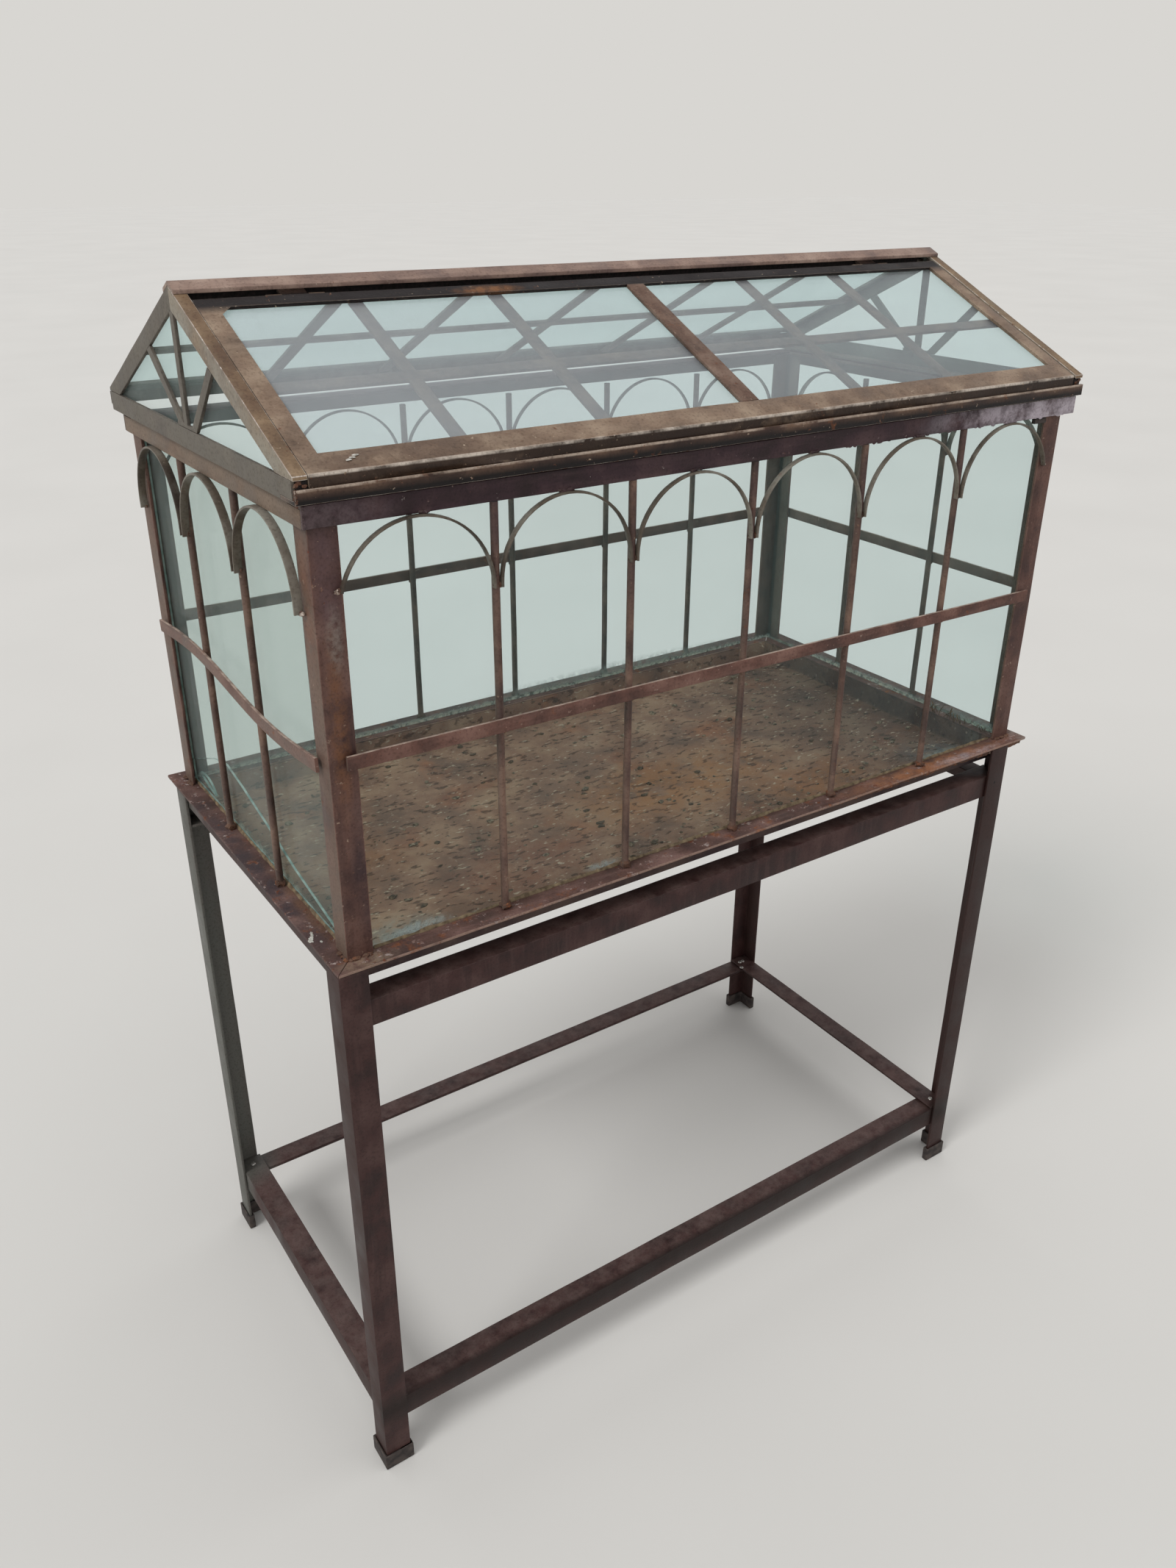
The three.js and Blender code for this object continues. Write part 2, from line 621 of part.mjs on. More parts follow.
// Glass and flat-strip tracery of the two gables
const gableGlassEnds = [sideEaveStart, roofBack - angleThickness - gap - gap];
const gableGlassFoot = angleThickness + gap;
const gablePane = [
  [gableGlassEnds[0], gableGlassFoot], [gableGlassEnds[0], below(gableGlassEnds[0], underFlange)],
  [ridgeAlongY, below(ridgeAlongY, underFlange)],
  [gableGlassEnds[1], below(gableGlassEnds[1], underFlange)], [gableGlassEnds[1], gableGlassFoot],
];
const farGableGlassX = gableGlassX.map((x) => roofLeft + roofRight - x).reverse();
addPiece(roof, 'gable_glass_left', bar(alongX, gablePane, gableGlassX[0], gableGlassX[1]), paneGlass);
addPiece(roof, 'gable_glass_right', bar(alongX, gablePane, farGableGlassX[0], farGableGlassX[1]), paneGlass);

const traceryFoot = rafterFoot + stripWidth * half;
const traceryRoof = [
  [slopeFront, ridgeHeight + ridgeHeight], [slopeFront, below(slopeFront, rafterDrop + gap)],
  [ridgeAlongY, below(ridgeAlongY, rafterDrop + gap)],
  [slopeBack, below(slopeBack, rafterDrop + gap)], [slopeBack, ridgeHeight + ridgeHeight],
];
function tracery(x) {
  const footZ = rafterFoot - traceryWidth;
  const arm = (offset, lean) => {
    const foot = [ridgeAlongY + offset - lean * traceryWidth, footZ];
    const head = [ridgeAlongY + offset + lean * (ridgeHeight - rafterFoot), ridgeHeight];
    return bar(alongX, ribbonOutline([foot, head], traceryWidth), x, x + stripThickness);
  };
  const kingOutline = ribbonOutline([[ridgeAlongY, footZ], [ridgeAlongY, ridgeHeight]], traceryWidth);
  const king = bar(alongX, kingOutline, x, x + stripThickness);
  const weld = block([x, x + stripThickness],
    [ridgeAlongY - traceryWeldReach, ridgeAlongY + traceryWeldReach],
    [footZ, rafterFoot + traceryWeldHeight]);
  const arms = traceryFeet.map((offset, index) => arm(offset, traceryLeanShares[index]));
  const fan = join(...arms, king, weld);
  const trimmed = cut(fan, bar(alongX, traceryRoof, x - gap, x + stripThickness + gap));
  const floor = block([x - gap, x + stripThickness + gap],
    [ridgeAlongY - slopeRun, ridgeAlongY + slopeRun], [-traceryFoot, rafterFoot]);
  return cut(trimmed, floor);
}
addPiece(roof, 'gable_tracery_left', tracery(roofLeft), greyPaint);
addPiece(roof, 'gable_tracery_right', tracery(roofRight - stripThickness), greyPaint);

// Back slope, drawn down the slope from the ridge: rail, glass and the strips under it
const backSlope = new THREE.Group();
backSlope.position.set(0, ridgeAlongY, ridgeHeight);
backSlope.rotation.x = -slopeAngle;

const glassNormal = [-angleThickness - gap - glassThickness, -angleThickness - gap];
const stripNormal = [glassNormal[0] - gap - stripThickness, glassNormal[0] - gap];
const backSpan = [roofLeft + rafterWidth + gap, roofRight - rafterWidth - gap];
const backPlate = [
  [roofBack - angleThickness, backRailFoot], [roofBack, backRailFoot],
  [roofBack, slopeAt(roofBack)], [roofBack - angleThickness, slopeAt(roofBack - angleThickness)],
];
const backFlange = toBack([
  onSlope(roofFront - slopeFront, -angleThickness), onSlope(backRailWidth, -angleThickness),
  onSlope(backRailWidth, 0), onSlope(roofFront - slopeFront, 0),
]);
const backPlateY = [roofBack - angleThickness, roofBack];
const backPlateTop = below(slopeBack, angleThickness) - gap;
addPiece(roof, 'back_rail', join(
  block([roofLeft, roofRight], backPlateY, [backRailFoot, backPlateTop]),
  bar(alongX, backPlate, backSpan[0], backSpan[1]),
  bar(alongX, backFlange, backSpan[0], backSpan[1])), casePaint);

const backGlassX = [backGlassEdge, roofLeft + roofRight - backGlassEdge];
const backGlassAlong = [backGlassStart, slopeLength - sashGlassStart];
addPiece(backSlope, 'glass_back_slope', block(backGlassX, backGlassAlong, glassNormal), paneGlass);

const across = (place) => [place - stripWidth * half, place + stripWidth * half];
addPiece(backSlope, 'lattice_back_slope', join(
  ...backStrips.map((x) => block(across(x), backGlassAlong, stripNormal)),
  block(backGlassX, across(backCrossStrip), stripNormal),
  block(backGlassX, [backGlassStart, backGlassStart + backTopStrip], stripNormal)), casePaint);
roof.add(backSlope);

// Sash of the front slope, drawn up the slope from its front edge
const sash = new THREE.Group();
sash.position.set(0, slopeFront, slopeFoot);
sash.rotation.x = slopeAngle;

const plateNormal = [-angleThickness, 0];
const lipNormal = [-sashLip, 0];
const topLipNormal = [-sashTopLip, 0];
const sideLipAlong = [gap, sashEnd - angleThickness];
const sashMiddle = (sashLeft + sashRight) * half;
const lipDrop = slopeFoot - frontEaveHeight - gap;
const frontLip = [
  [0, 0], [angleThickness * acrossSlope, -angleThickness * upSlope],
  [angleThickness * acrossSlope - lipDrop * upSlope, -angleThickness * upSlope - lipDrop * acrossSlope],
  [-lipDrop * upSlope, -lipDrop * acrossSlope],
];
const movingHinge = (x) => [-1, 1].flatMap((side) => {
  const middle = x + side * (knuckleLength * half + gap + sideKnuckleLength * half);
  const width = [middle - sideKnuckleLength * half, middle + sideKnuckleLength * half];
  return [
    barrel(middle, hingeAlong, -hingeBelow, sideKnuckleLength),
    block(width, [hingeAlong - sashLeafLength, hingeAlong - leafThickness * half],
      [-hingeBelow - leafThickness * half, sashLeafSink - angleThickness]),
  ];
});
addPiece(sash, 'sash_frame', join(
  block([sashLeft, sashRight], [gap, sashFrontRail], plateNormal),
  block([sashLeft, sashRight], [sashEnd - sashTopRail, sashEnd], plateNormal),
  block([sashLeft, sashLeft + sashStile], [gap, sashEnd], plateNormal),
  block([sashRight - sashStile, sashRight], [gap, sashEnd], plateNormal),
  block([sashLeft, sashLeft + angleThickness], sideLipAlong, lipNormal),
  block([sashRight - angleThickness, sashRight], sideLipAlong, lipNormal),
  block([sashLeft, sashRight], [sashEnd - angleThickness, sashEnd], topLipNormal),
  bar(alongX, frontLip, sashLeft, sashRight),
  ...hinges.flatMap(movingHinge)), casePaint);

const stem = angleThickness * half;
addPiece(sash, 'sash_mullion', bar(alongY, [
  [sashMiddle - mullionWidth * half, 0], [sashMiddle + mullionWidth * half, 0],
  [sashMiddle + mullionWidth * half, -angleThickness], [sashMiddle + stem, -angleThickness],
  [sashMiddle + stem, -sashLip], [sashMiddle - stem, -sashLip],
  [sashMiddle - stem, -angleThickness], [sashMiddle - mullionWidth * half, -angleThickness],
], sashFrontRail + gap, sashEnd - sashTopRail - gap), worn);

const bays = {
  left: [sashLeft + angleThickness + gap, sashMiddle - stem - gap],
  right: [sashMiddle + stem + gap, sashRight - angleThickness - gap],
};
const muntinAlong = [sashGlassStart, sashEnd - angleThickness - gap];
Object.entries(bays).forEach(([side, bay]) => {
  addPiece(sash, `sash_glass_${side}`, block(bay, [sashGlassStart, sashGlassEnd], glassNormal), paneGlass);
  const uprights = sashMuntins.filter((x) => x > bay[0] && x < bay[1]);
  addPiece(sash, `sash_muntins_${side}`, join(
    block(bay, across(sashCross), stripNormal),
    ...uprights.map((x) => block(across(x), muntinAlong, stripNormal))), casePaint);
});
roof.add(sash);

// Whole object, moved so that the origin lies under its middle
const wardianCase = new THREE.Group();
wardianCase.position.set(-middleX, -middleY, 0);
wardianCase.add(stand, glazed, roof);

export default wardianCase;
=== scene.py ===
import bpy
import bmesh
import math
import random
from mathutils import Matrix, Vector, noise


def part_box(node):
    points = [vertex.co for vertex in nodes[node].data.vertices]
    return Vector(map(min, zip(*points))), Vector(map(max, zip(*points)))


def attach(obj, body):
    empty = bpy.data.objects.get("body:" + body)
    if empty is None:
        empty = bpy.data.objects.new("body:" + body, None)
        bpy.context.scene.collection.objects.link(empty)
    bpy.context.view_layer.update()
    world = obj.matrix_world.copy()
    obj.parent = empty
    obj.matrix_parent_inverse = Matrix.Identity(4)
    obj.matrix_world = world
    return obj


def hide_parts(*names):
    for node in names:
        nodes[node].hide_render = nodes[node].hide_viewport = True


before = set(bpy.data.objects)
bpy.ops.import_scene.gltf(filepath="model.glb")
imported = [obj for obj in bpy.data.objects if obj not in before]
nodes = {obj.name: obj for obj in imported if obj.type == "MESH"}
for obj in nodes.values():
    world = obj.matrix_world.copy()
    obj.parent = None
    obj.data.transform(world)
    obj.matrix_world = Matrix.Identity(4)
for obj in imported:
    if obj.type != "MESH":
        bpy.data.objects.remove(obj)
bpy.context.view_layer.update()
scene = bpy.context.scene
chance = random.Random(41)
noise.seed_set(41)    # without it the bars would waver in another way on each run

# Places below are in the object's own millimetres: x from the left leg's outer face,
# y from the front leg's outer face, z from the floor.
underMiddle = Vector((449.75, 238.75, 0.0))
upwards = Vector((0, 0, 1))
frontwards = Vector((0, -1, 0))
corners = ("front_left", "front_right", "back_right", "back_left")
sides = ("front", "back", "left", "right")
bendAngle = math.radians(30)      # an edge that turns more than this is a corner to rub round
creaseAngle = math.radians(40)    # and one that turns more than this is shaded as a crease


def at(x, y, z):
    return (Vector((x, y, z)) - underMiddle) / 1000


def mm(value):
    return value / 1000


def linear(hexColour):
    channels = [int(hexColour[i:i + 2], 16) / 255 for i in (1, 3, 5)]
    return [c / 12.92 if c <= 0.04045 else ((c + 0.055) / 1.055) ** 2.4 for c in channels] + [1.0]


# Adds a node with its settings, tones and links, and marks the stops of its ramp.
def addNode(tree, kind, settings, stops=()):
    node = tree.nodes.new("ShaderNode" + kind)
    for key, value in settings.items():
        if isinstance(key, str) and key not in node.inputs.keys():
            setattr(node, key, value)
        elif isinstance(value, bpy.types.NodeSocket):
            tree.links.new(value, node.inputs[key])
        else:
            node.inputs[key].default_value = linear(value) if isinstance(value, str) else value
    for index, (place, tone) in enumerate(stops):
        marks = node.color_ramp.elements
        mark = marks[index] if index < 2 else marks.new(place)
        mark.position = place
        mark.color = linear(tone) if isinstance(tone, str) else (tone, tone, tone, 1)
    return node


def newMaterial(name):
    material = bpy.data.materials.new(name)
    material.use_nodes = True
    tree = material.node_tree
    tree.nodes.clear()
    return material, tree, addNode(tree, "TexCoord", {}).outputs


# Noise about patchMm wide, and what a ramp with these stops makes of it.
def mottle(tree, coords, patchMm, detail, stops, fine=0.5):
    cloud = addNode(tree, "TexNoise", {
        "Vector": coords, "Scale": 1000 / patchMm, "Detail": detail, "Roughness": fine}).outputs["Fac"]
    return cloud, addNode(tree, "ValToRGB", {"Fac": cloud}, stops).outputs[0]


# Where a cloud of noise about patchMm wide rises past an edge, 0 outside it and share inside.
def cloudMask(tree, coords, patchMm, edge, soft, share=1.0, fine=0.6):
    return mottle(tree, coords, patchMm, 7.0, [(edge, 0.0), (edge + soft, share)], fine)[1]


def bothMasks(tree, first, second):
    return addNode(tree, "Math", {"operation": "MULTIPLY", 0: first, 1: second, "use_clamp": True}).outputs[0]


# One coat over another where the mask lets it through, less where a second mask holds it back.
def coatOver(tree, below, tone, mask, heldBy=None, blend="MIX"):
    if heldBy is not None:
        mask = bothMasks(tree, mask, heldBy)
    coat = addNode(tree, "Mix", {"data_type": "RGBA", "blend_type": blend, 0: mask, 6: below, 7: tone})
    return coat.outputs[2]


# An egg-shaped stain: its middle and half sizes in mm, share, and the width in mm of the patches
# that make its edge ragged, or 0 for a soft edge. In the lists of stains its tone stands first.
def stainMask(tree, coords, middle, size, share, patchMm):
    shift = addNode(tree, "VectorMath", {"operation": "SUBTRACT", 0: coords, 1: at(*middle)})
    spread = addNode(tree, "VectorMath", {"operation": "DIVIDE", 0: shift.outputs[0], 1: Vector(size) / 1000})
    reach = addNode(tree, "VectorMath", {"operation": "LENGTH", 0: spread.outputs[0]})
    near = addNode(tree, "ValToRGB", {"Fac": reach.outputs["Value"]}, [(0.35, share), (1.0, 0.0)])
    if patchMm == 0:
        return near.outputs[0]
    return bothMasks(tree, near.outputs[0], cloudMask(tree, coords, patchMm, 0.36, 0.2, 1.0, 0.7))


def stained(tree, coords, below, stains):
    for tone, *spot in stains:
        below = coatOver(tree, below, tone, stainMask(tree, coords, *spot))
    return below


# What a painted bar has unless its own look says otherwise. Patterns are in mm, shares run from 0
# to 1, and a higher edge leaves fewer chips or less rust. A small streak share stretches that axis.
plainPaint = {
    "cloudMm": 36, "streakMm": 9, "blotchMm": 15, "chalkAndWindowLightMm": 60, "dustMm": 14, "shadeMm": 30,
    "chipMm": 5, "bareMm": 7.143, "rustMm": 26, "rustGrainMm": 3.125, "grimeMm": 2.4, "pitMm": 2.6,
    "streak": (1.0, 1.0, 0.12), "streakShare": 0.5, "chalkAndWindowLightShare": 0.4, "dustShare": 0.5,
    "chipEdge": 0.64, "rustEdge": 0.62, "rustShare": 0.8, "grime": (0.42, 0.38, 0.36, 1.0),
    "rough": 0.5, "rustRough": 0.92, "bump": 0.35, "metallic": 0.0, "sheen": 0.25, "stains": [],
}


# Hot-rolled steel under old oil paint. It gives the eye a dull satin brown with cloudy blotches,
# rubbed streaks, chalky grey with painted window light on what faces the window, dust on what faces up,
# a painted front-face tone where a look gives one (painted light on the base, painted shade on the sash),
# and chips to rust.
def oldPaint(name, ownLook):
    look = plainPaint | ownLook
    material, tree, place = newMaterial("oilPaintOnSteel_" + name)
    coords = place["Object"]
    facing = addNode(tree, "SeparateXYZ", {"Vector": place["Normal"]}).outputs
    leftward = addNode(tree, "Math", {"operation": "MULTIPLY", 0: facing["X"], 1: -1.0, "use_clamp": True})
    upward = addNode(tree, "ValToRGB", {"Fac": facing["Z"]}, [(0.55, 0.0), (0.9, 1.0)])
    streaked = addNode(tree, "Mapping", {"Vector": coords, "Scale": look["streak"]}).outputs[0]
    cloud, paint = mottle(tree, coords, look["cloudMm"], 6.0, [
        (0.34, look["deep"]), (0.66, look["pale"]), (0.5, look["paint"])])
    streaks = cloudMask(tree, streaked, look["streakMm"], 0.5, 0.2, look["streakShare"])
    paint = coatOver(tree, paint, look["pale"], streaks)
    blotches = cloudMask(tree, streaked, look["blotchMm"], 0.54, 0.12, look["streakShare"])
    paint = coatOver(tree, paint, look["deep"], blotches)
    # Chalky faded paint and painted window light on the faces that look to the left.
    chalkAndWindowLight = cloudMask(tree, coords, look["chalkAndWindowLightMm"], 0.2, 0.35, look["chalkAndWindowLightShare"])
    paint = coatOver(tree, paint, look["chalkAndWindowLight"], chalkAndWindowLight, leftward.outputs[0])
    dust = cloudMask(tree, coords, look["dustMm"], 0.3, 0.35, look["dustShare"])
    paint = coatOver(tree, paint, look["dust"], dust, upward.outputs[0])
    # Painted light and shade on faces that look to the front: a paler tone on the base, near black on the
    # sash.
    if "paintedFrontTone" in look:
        frontward = addNode(tree, "Math", {"operation": "MULTIPLY", 0: facing["Y"], 1: -1.0})
        paintedFrontMask = addNode(tree, "ValToRGB", {"Fac": frontward.outputs[0]}, [(0.6, 0.0), (0.8, 0.95)])
        patches = cloudMask(tree, coords, look["shadeMm"], 0.12, 0.3)
        paint = coatOver(tree, paint, look["paintedFrontTone"], patches, paintedFrontMask.outputs[0])
    paint = stained(tree, coords, paint, look["stains"])
    chips = cloudMask(tree, coords, look["chipMm"], look["chipEdge"], 0.02, 0.9, 0.68)
    bare = mottle(tree, coords, look["bareMm"], 4.0, [(0.42, look["rust"]), (0.6, look["primer"])])[1]
    paint = coatOver(tree, paint, bare, chips)
    rusty = cloudMask(tree, coords, look["rustMm"], look["rustEdge"], 0.1, look["rustShare"], 0.7)
    rust = mottle(tree, coords, look["rustGrainMm"], 5.0, [
        (0.38, look["rust"]), (0.68, look["rustPale"])])[1]
    paint = coatOver(tree, paint, rust, rusty)
    grime = cloudMask(tree, coords, look["grimeMm"], 0.5, 0.2, 0.65)
    paint = coatOver(tree, paint, look["grime"], grime, None, "MULTIPLY")
    gloss = addNode(tree, "ValToRGB", {"Fac": cloud}, [
        (0.3, look["rough"] - 0.12), (0.7, look["rough"] + 0.14)])
    gloss = coatOver(tree, gloss.outputs[0], [look["rustRough"]] * 3 + [1.0], rusty)
    pits = addNode(tree, "TexNoise", {"Vector": coords, "Scale": 1000 / look["pitMm"], "Detail": 6.0})
    relief = addNode(tree, "Math", {"operation": "SUBTRACT", 0: pits.outputs["Fac"], 1: chips})
    bump = addNode(tree, "Bump", {"Height": relief.outputs[0], "Strength": look["bump"], "Distance": mm(0.6)})
    surface = addNode(tree, "BsdfPrincipled", {
        "Base Color": paint, "Roughness": gloss, "Normal": bump.outputs[0],
        "Metallic": look["metallic"], "Specular IOR Level": look["sheen"]})
    addNode(tree, "OutputMaterial", {"Surface": surface.outputs[0]})
    return material


paints = {
    "stand": {
        "paint": "#3c2422", "deep": "#2a1817", "pale": "#4c3633", "primer": "#7f6f66",
        "rust": "#45261c", "rustPale": "#6f4634", "chalkAndWindowLight": "#33231f", "dust": "#6a5a55",
        "chalkAndWindowLightShare": 0.7, "dustShare": 0.45, "chipEdge": 0.7, "rustEdge": 0.74, "bump": 0.2,
        "stains": [("#62645e", (0, 430, 300), (60, 60, 800), 0.8, 0),
                   # The next two are painted shade: a dark soft patch on the front right leg, and a
                   # near-black band along the lower front rail's front face.
                   ("#2c1c19", (851, 0, 380), (40, 40, 700), 0.7, 0),
                   ("#1d120f", (434, 0, 84), (1200, 12, 30), 0.9, 0)]},
    "case": {
        "paint": "#5c4038", "deep": "#3f2926", "pale": "#6c524a", "primer": "#97806f",
        "rust": "#5d3423", "rustPale": "#8f5c42", "chalkAndWindowLight": "#75685a", "dust": "#86705f",
        "chalkAndWindowLightShare": 0.5, "rustEdge": 0.66, "rough": 0.55,
        "stains": [("#35262a", (40, 16, 730), (14, 8, 100), 0.8, 60),
                   ("#5a4547", (28, 16, 985), (16, 8, 62), 0.8, 40),
                   ("#70492f", (28, 16, 860), (10, 9, 95), 0.7, 9),
                   ("#8a8078", (31, 16, 935), (9, 8, 34), 0.5, 6),
                   ("#705041", (16, 30, 960), (8, 16, 70), 0.7, 18),
                   ("#6b4a3f", (880, 16, 900), (14, 10, 160), 0.5, 20)]},
    "topRail": {
        "paint": "#37242a", "deep": "#28191c", "pale": "#4d393b", "primer": "#a39a97",
        "rust": "#55312a", "rustPale": "#7c5142", "chalkAndWindowLight": "#756b5c", "dust": "#6f5f58",
        "chalkAndWindowLightShare": 0.5, "dustShare": 0.45, "chipEdge": 0.66, "rustEdge": 0.68, "bump": 0.25,
        "streak": (0.12, 1.0, 1.0),
        "stains": [("#b0a6ae", (880, 13, 1034), (230, 40, 36), 1.0, 40),
                   ("#5e4f52", (30, 13, 1032), (70, 30, 20), 0.7, 12)]},
    "eave": {
        "paint": "#553f34", "deep": "#3a2923", "pale": "#6f5747", "primer": "#b3a08c",
        "rust": "#6b3c24", "rustPale": "#86583a", "chalkAndWindowLight": "#6a6157", "dust": "#7a6351",
        "chalkAndWindowLightShare": 0.5, "rustEdge": 0.6, "rough": 0.45, "streak": (0.12, 1.0, 1.0),
        # Painted shadow: a near-black band along the eave's foot.
        "stains": [("#120b0b", (455, 8, 1043), (2400, 20, 11), 1.0, 0),
                   # Partly rubbed paint and partly a painted highlight: a pale line along the eave's top
                   # edge.
                   ("#bcab9b", (455, 8.2, 1054.2), (2400, 2.0, 1.8), 0.8, 30)]},
    "base": {
        "paint": "#553b36", "deep": "#3c2a28", "pale": "#785c56", "primer": "#a3948f",
        "rust": "#673823", "rustPale": "#975d39", "chalkAndWindowLight": "#635850", "dust": "#705448",
        # The base's front faces get a paler tone: painted light.
        "paintedFrontTone": "#8d7468", "dustShare": 0.3, "chipMm": 9, "chipEdge": 0.59, "rustEdge": 0.57,
        "rough": 0.68, "bump": 0.6, "streak": (0.15, 1.0, 1.0),
        "stains": [("#3f3539", (6, 210, 643), (16, 250, 8), 0.85, 40),
                   ("#6a4c3a", (19, 120, 643), (8, 110, 8), 0.7, 12),
                   ("#83705f", (30, 8, 643), (34, 14, 8), 0.8, 14),
                   ("#95603d", (740, 8, 643), (170, 18, 8), 0.75, 16),
                   ("#a8999b", (800, 5, 643), (70, 8, 8), 0.6, 9),
                   ("#85786f", (895, 12, 643), (16, 24, 8), 0.9, 40)]},
    "arch": {
        "paint": "#5f554a", "deep": "#3d352e", "pale": "#858076", "primer": "#a19686",
        "rust": "#5f4030", "rustPale": "#86644c", "chalkAndWindowLight": "#7b776c", "dust": "#756b5f",
        "chalkAndWindowLightShare": 0.3, "dustShare": 0.2, "cloudMm": 60, "chipMm": 4, "chipEdge": 0.66,
        "rough": 0.45, "bump": 0.3, "streak": (0.3, 0.3, 0.3)},
    "lattice": {
        "paint": "#59423a", "deep": "#3c2b28", "pale": "#7a6052", "primer": "#93816e",
        "rust": "#5f3422", "rustPale": "#8a583a", "chalkAndWindowLight": "#74695f", "dust": "#8a7464",
        "chalkAndWindowLightShare": 0.35, "dustShare": 0.4, "chipMm": 4, "rustEdge": 0.64, "rough": 0.55,
        "stains": [("#48373a", (449, 12, 1010), (900, 30, 110), 0.55, 30)]},
    "strip": {
        "paint": "#64453c", "deep": "#4a322c", "pale": "#7b5c52", "primer": "#a38f82",
        "rust": "#6a3825", "rustPale": "#9a6345", "chalkAndWindowLight": "#7b7066", "dust": "#c0ac9d",
        "dustShare": 0.9, "chipEdge": 0.63, "rough": 0.55, "streak": (0.15, 0.15, 1.0)},
    "weld": {
        "paint": "#4f362b", "deep": "#33231d", "pale": "#705040", "primer": "#8f7c6b",
        "rust": "#65371f", "rustPale": "#93603f", "chalkAndWindowLight": "#7b766e", "dust": "#7d6757",
        "chalkAndWindowLightShare": 0.2, "dustShare": 0.3, "chipMm": 3, "chipEdge": 0.6, "rustMm": 8,
        "rustEdge": 0.54, "rough": 0.8, "bump": 0.9},
    "roof": {
        "paint": "#846c61", "deep": "#64504a", "pale": "#a48d80", "primer": "#b9a998",
        "rust": "#6b4631", "rustPale": "#987054", "chalkAndWindowLight": "#8b8378", "dust": "#937b6d",
        "dustShare": 0.4, "chipEdge": 0.66, "rustEdge": 0.68, "streak": (0.12, 1.0, 1.0),
        # Painted shade: a near-black band under the ridge cap's front edge.
        "stains": [("#171111", (449, 229, 1163.5), (2400, 9, 6.5), 1.0, 0)]},
    "sash": {
        "paint": "#786250", "deep": "#574537", "pale": "#9a8773", "primer": "#b3a28c",
        "rust": "#683f2a", "rustPale": "#946e50", "chalkAndWindowLight": "#867b6d", "dust": "#8a7564",
        # The sash's front faces get a near-black tone: painted shade.
        "paintedFrontTone": "#261811", "chalkAndWindowLightShare": 0.3, "rustEdge": 0.64, "bump": 0.4,
        "streak": (0.12, 0.5, 0.5),
        # Painted shade: the sash's top rail is near black under the ridge cap.
        "stains": [("#1f1919", (453, 218, 1163), (2400, 17, 16), 1.0, 0),
                   ("#8a5a32", (290, 216, 1162), (42, 8, 9), 0.7, 12),
                   ("#59463a", (90, 22, 1070), (150, 30, 24), 0.7, 34),
                   ("#5d4a3d", (640, 22, 1070), (160, 30, 24), 0.5, 34),
                   # Partly rubbed paint and partly a painted highlight: a pale line along the sash's front
                   # edge.
                   ("#d6cabd", (453, 9.8, 1064.0), (2400, 2.4, 2.0), 0.9, 34)]},
    "rafter": {
        "paint": "#6e5640", "deep": "#4f3c2c", "pale": "#937c62", "primer": "#a8957b",
        "rust": "#643d26", "rustPale": "#946a48", "chalkAndWindowLight": "#8d877a", "dust": "#7f6a53",
        "chalkAndWindowLightShare": 0.9, "chipEdge": 0.63, "rough": 0.55, "bump": 0.4, "streak": (1.0, 0.12, 0.3),
        "stains": [("#5a4232", (15, 130, 1120), (12, 130, 80), 0.65, 22),
                   ("#8a7b64", (892, 130, 1120), (14, 130, 80), 0.5, 22)]},
    "grey": {
        "paint": "#5d554e", "deep": "#46403a", "pale": "#787167", "primer": "#9a8f80",
        "rust": "#5f4636", "rustPale": "#846a54", "chalkAndWindowLight": "#676259", "dust": "#75685c",
        "chalkAndWindowLightShare": 0.8, "dustShare": 0.4, "chipEdge": 0.68, "rustEdge": 0.72, "rough": 0.6,
        "bump": 0.3},
    "wornRail": {
        "paint": "#6c5647", "deep": "#54423a", "pale": "#887263", "primer": "#a1907f",
        "rust": "#6b4430", "rustPale": "#936850", "chalkAndWindowLight": "#776b5d", "dust": "#8a7463",
        "chalkAndWindowLightShare": 0.6, "chipEdge": 0.66, "rustEdge": 0.68, "rough": 0.58,
        "streak": (1.0, 0.12, 1.0)},
    "mullion": {
        "paint": "#5f463a", "deep": "#47332a", "pale": "#7d685c", "primer": "#a08d7c",
        "rust": "#6a3f28", "rustPale": "#93664a", "chalkAndWindowLight": "#85796c", "dust": "#786355",
        "chalkAndWindowLightShare": 0.3, "dustShare": 0.4, "chipMm": 4, "chipEdge": 0.62, "rough": 0.6,
        "bump": 0.5, "streak": (1.0, 0.2, 0.4)},
    # Pale bevel paint: rubbed bare edges, also standing in for painted edge highlights.
    "rubbedEdgeAndHighlight": {
        "paint": "#a5968a", "deep": "#7c6c61", "pale": "#cdc3b9", "primer": "#e2dcd4",
        "rust": "#6f4d3a", "rustPale": "#a08169", "chalkAndWindowLight": "#9a9389", "dust": "#a09080",
        "dustShare": 0.3, "chipEdge": 0.55, "rustEdge": 0.6, "metallic": 0.35, "rough": 0.42,
        "bump": 0.2},
}
painted = {name: oldPaint(name, look) for name, look in paints.items()}


# Small plain stuffs: a dull surface of one stuff whose tone wavers, with a fine grain in relief.
def plainStuff(name, pale, deep, roughness, grainMm, metallic=0.0):
    material, tree, place = newMaterial(name)
    grain, tones = mottle(tree, place["Object"], grainMm, 6.0, [(0.36, deep), (0.66, pale)])
    bump = addNode(tree, "Bump", {"Height": grain, "Strength": 0.3, "Distance": mm(0.4)})
    surface = addNode(tree, "BsdfPrincipled", {
        "Base Color": tones, "Roughness": roughness, "Metallic": metallic, "Normal": bump.outputs[0]})
    addNode(tree, "OutputMaterial", {"Surface": surface.outputs[0]})
    return material


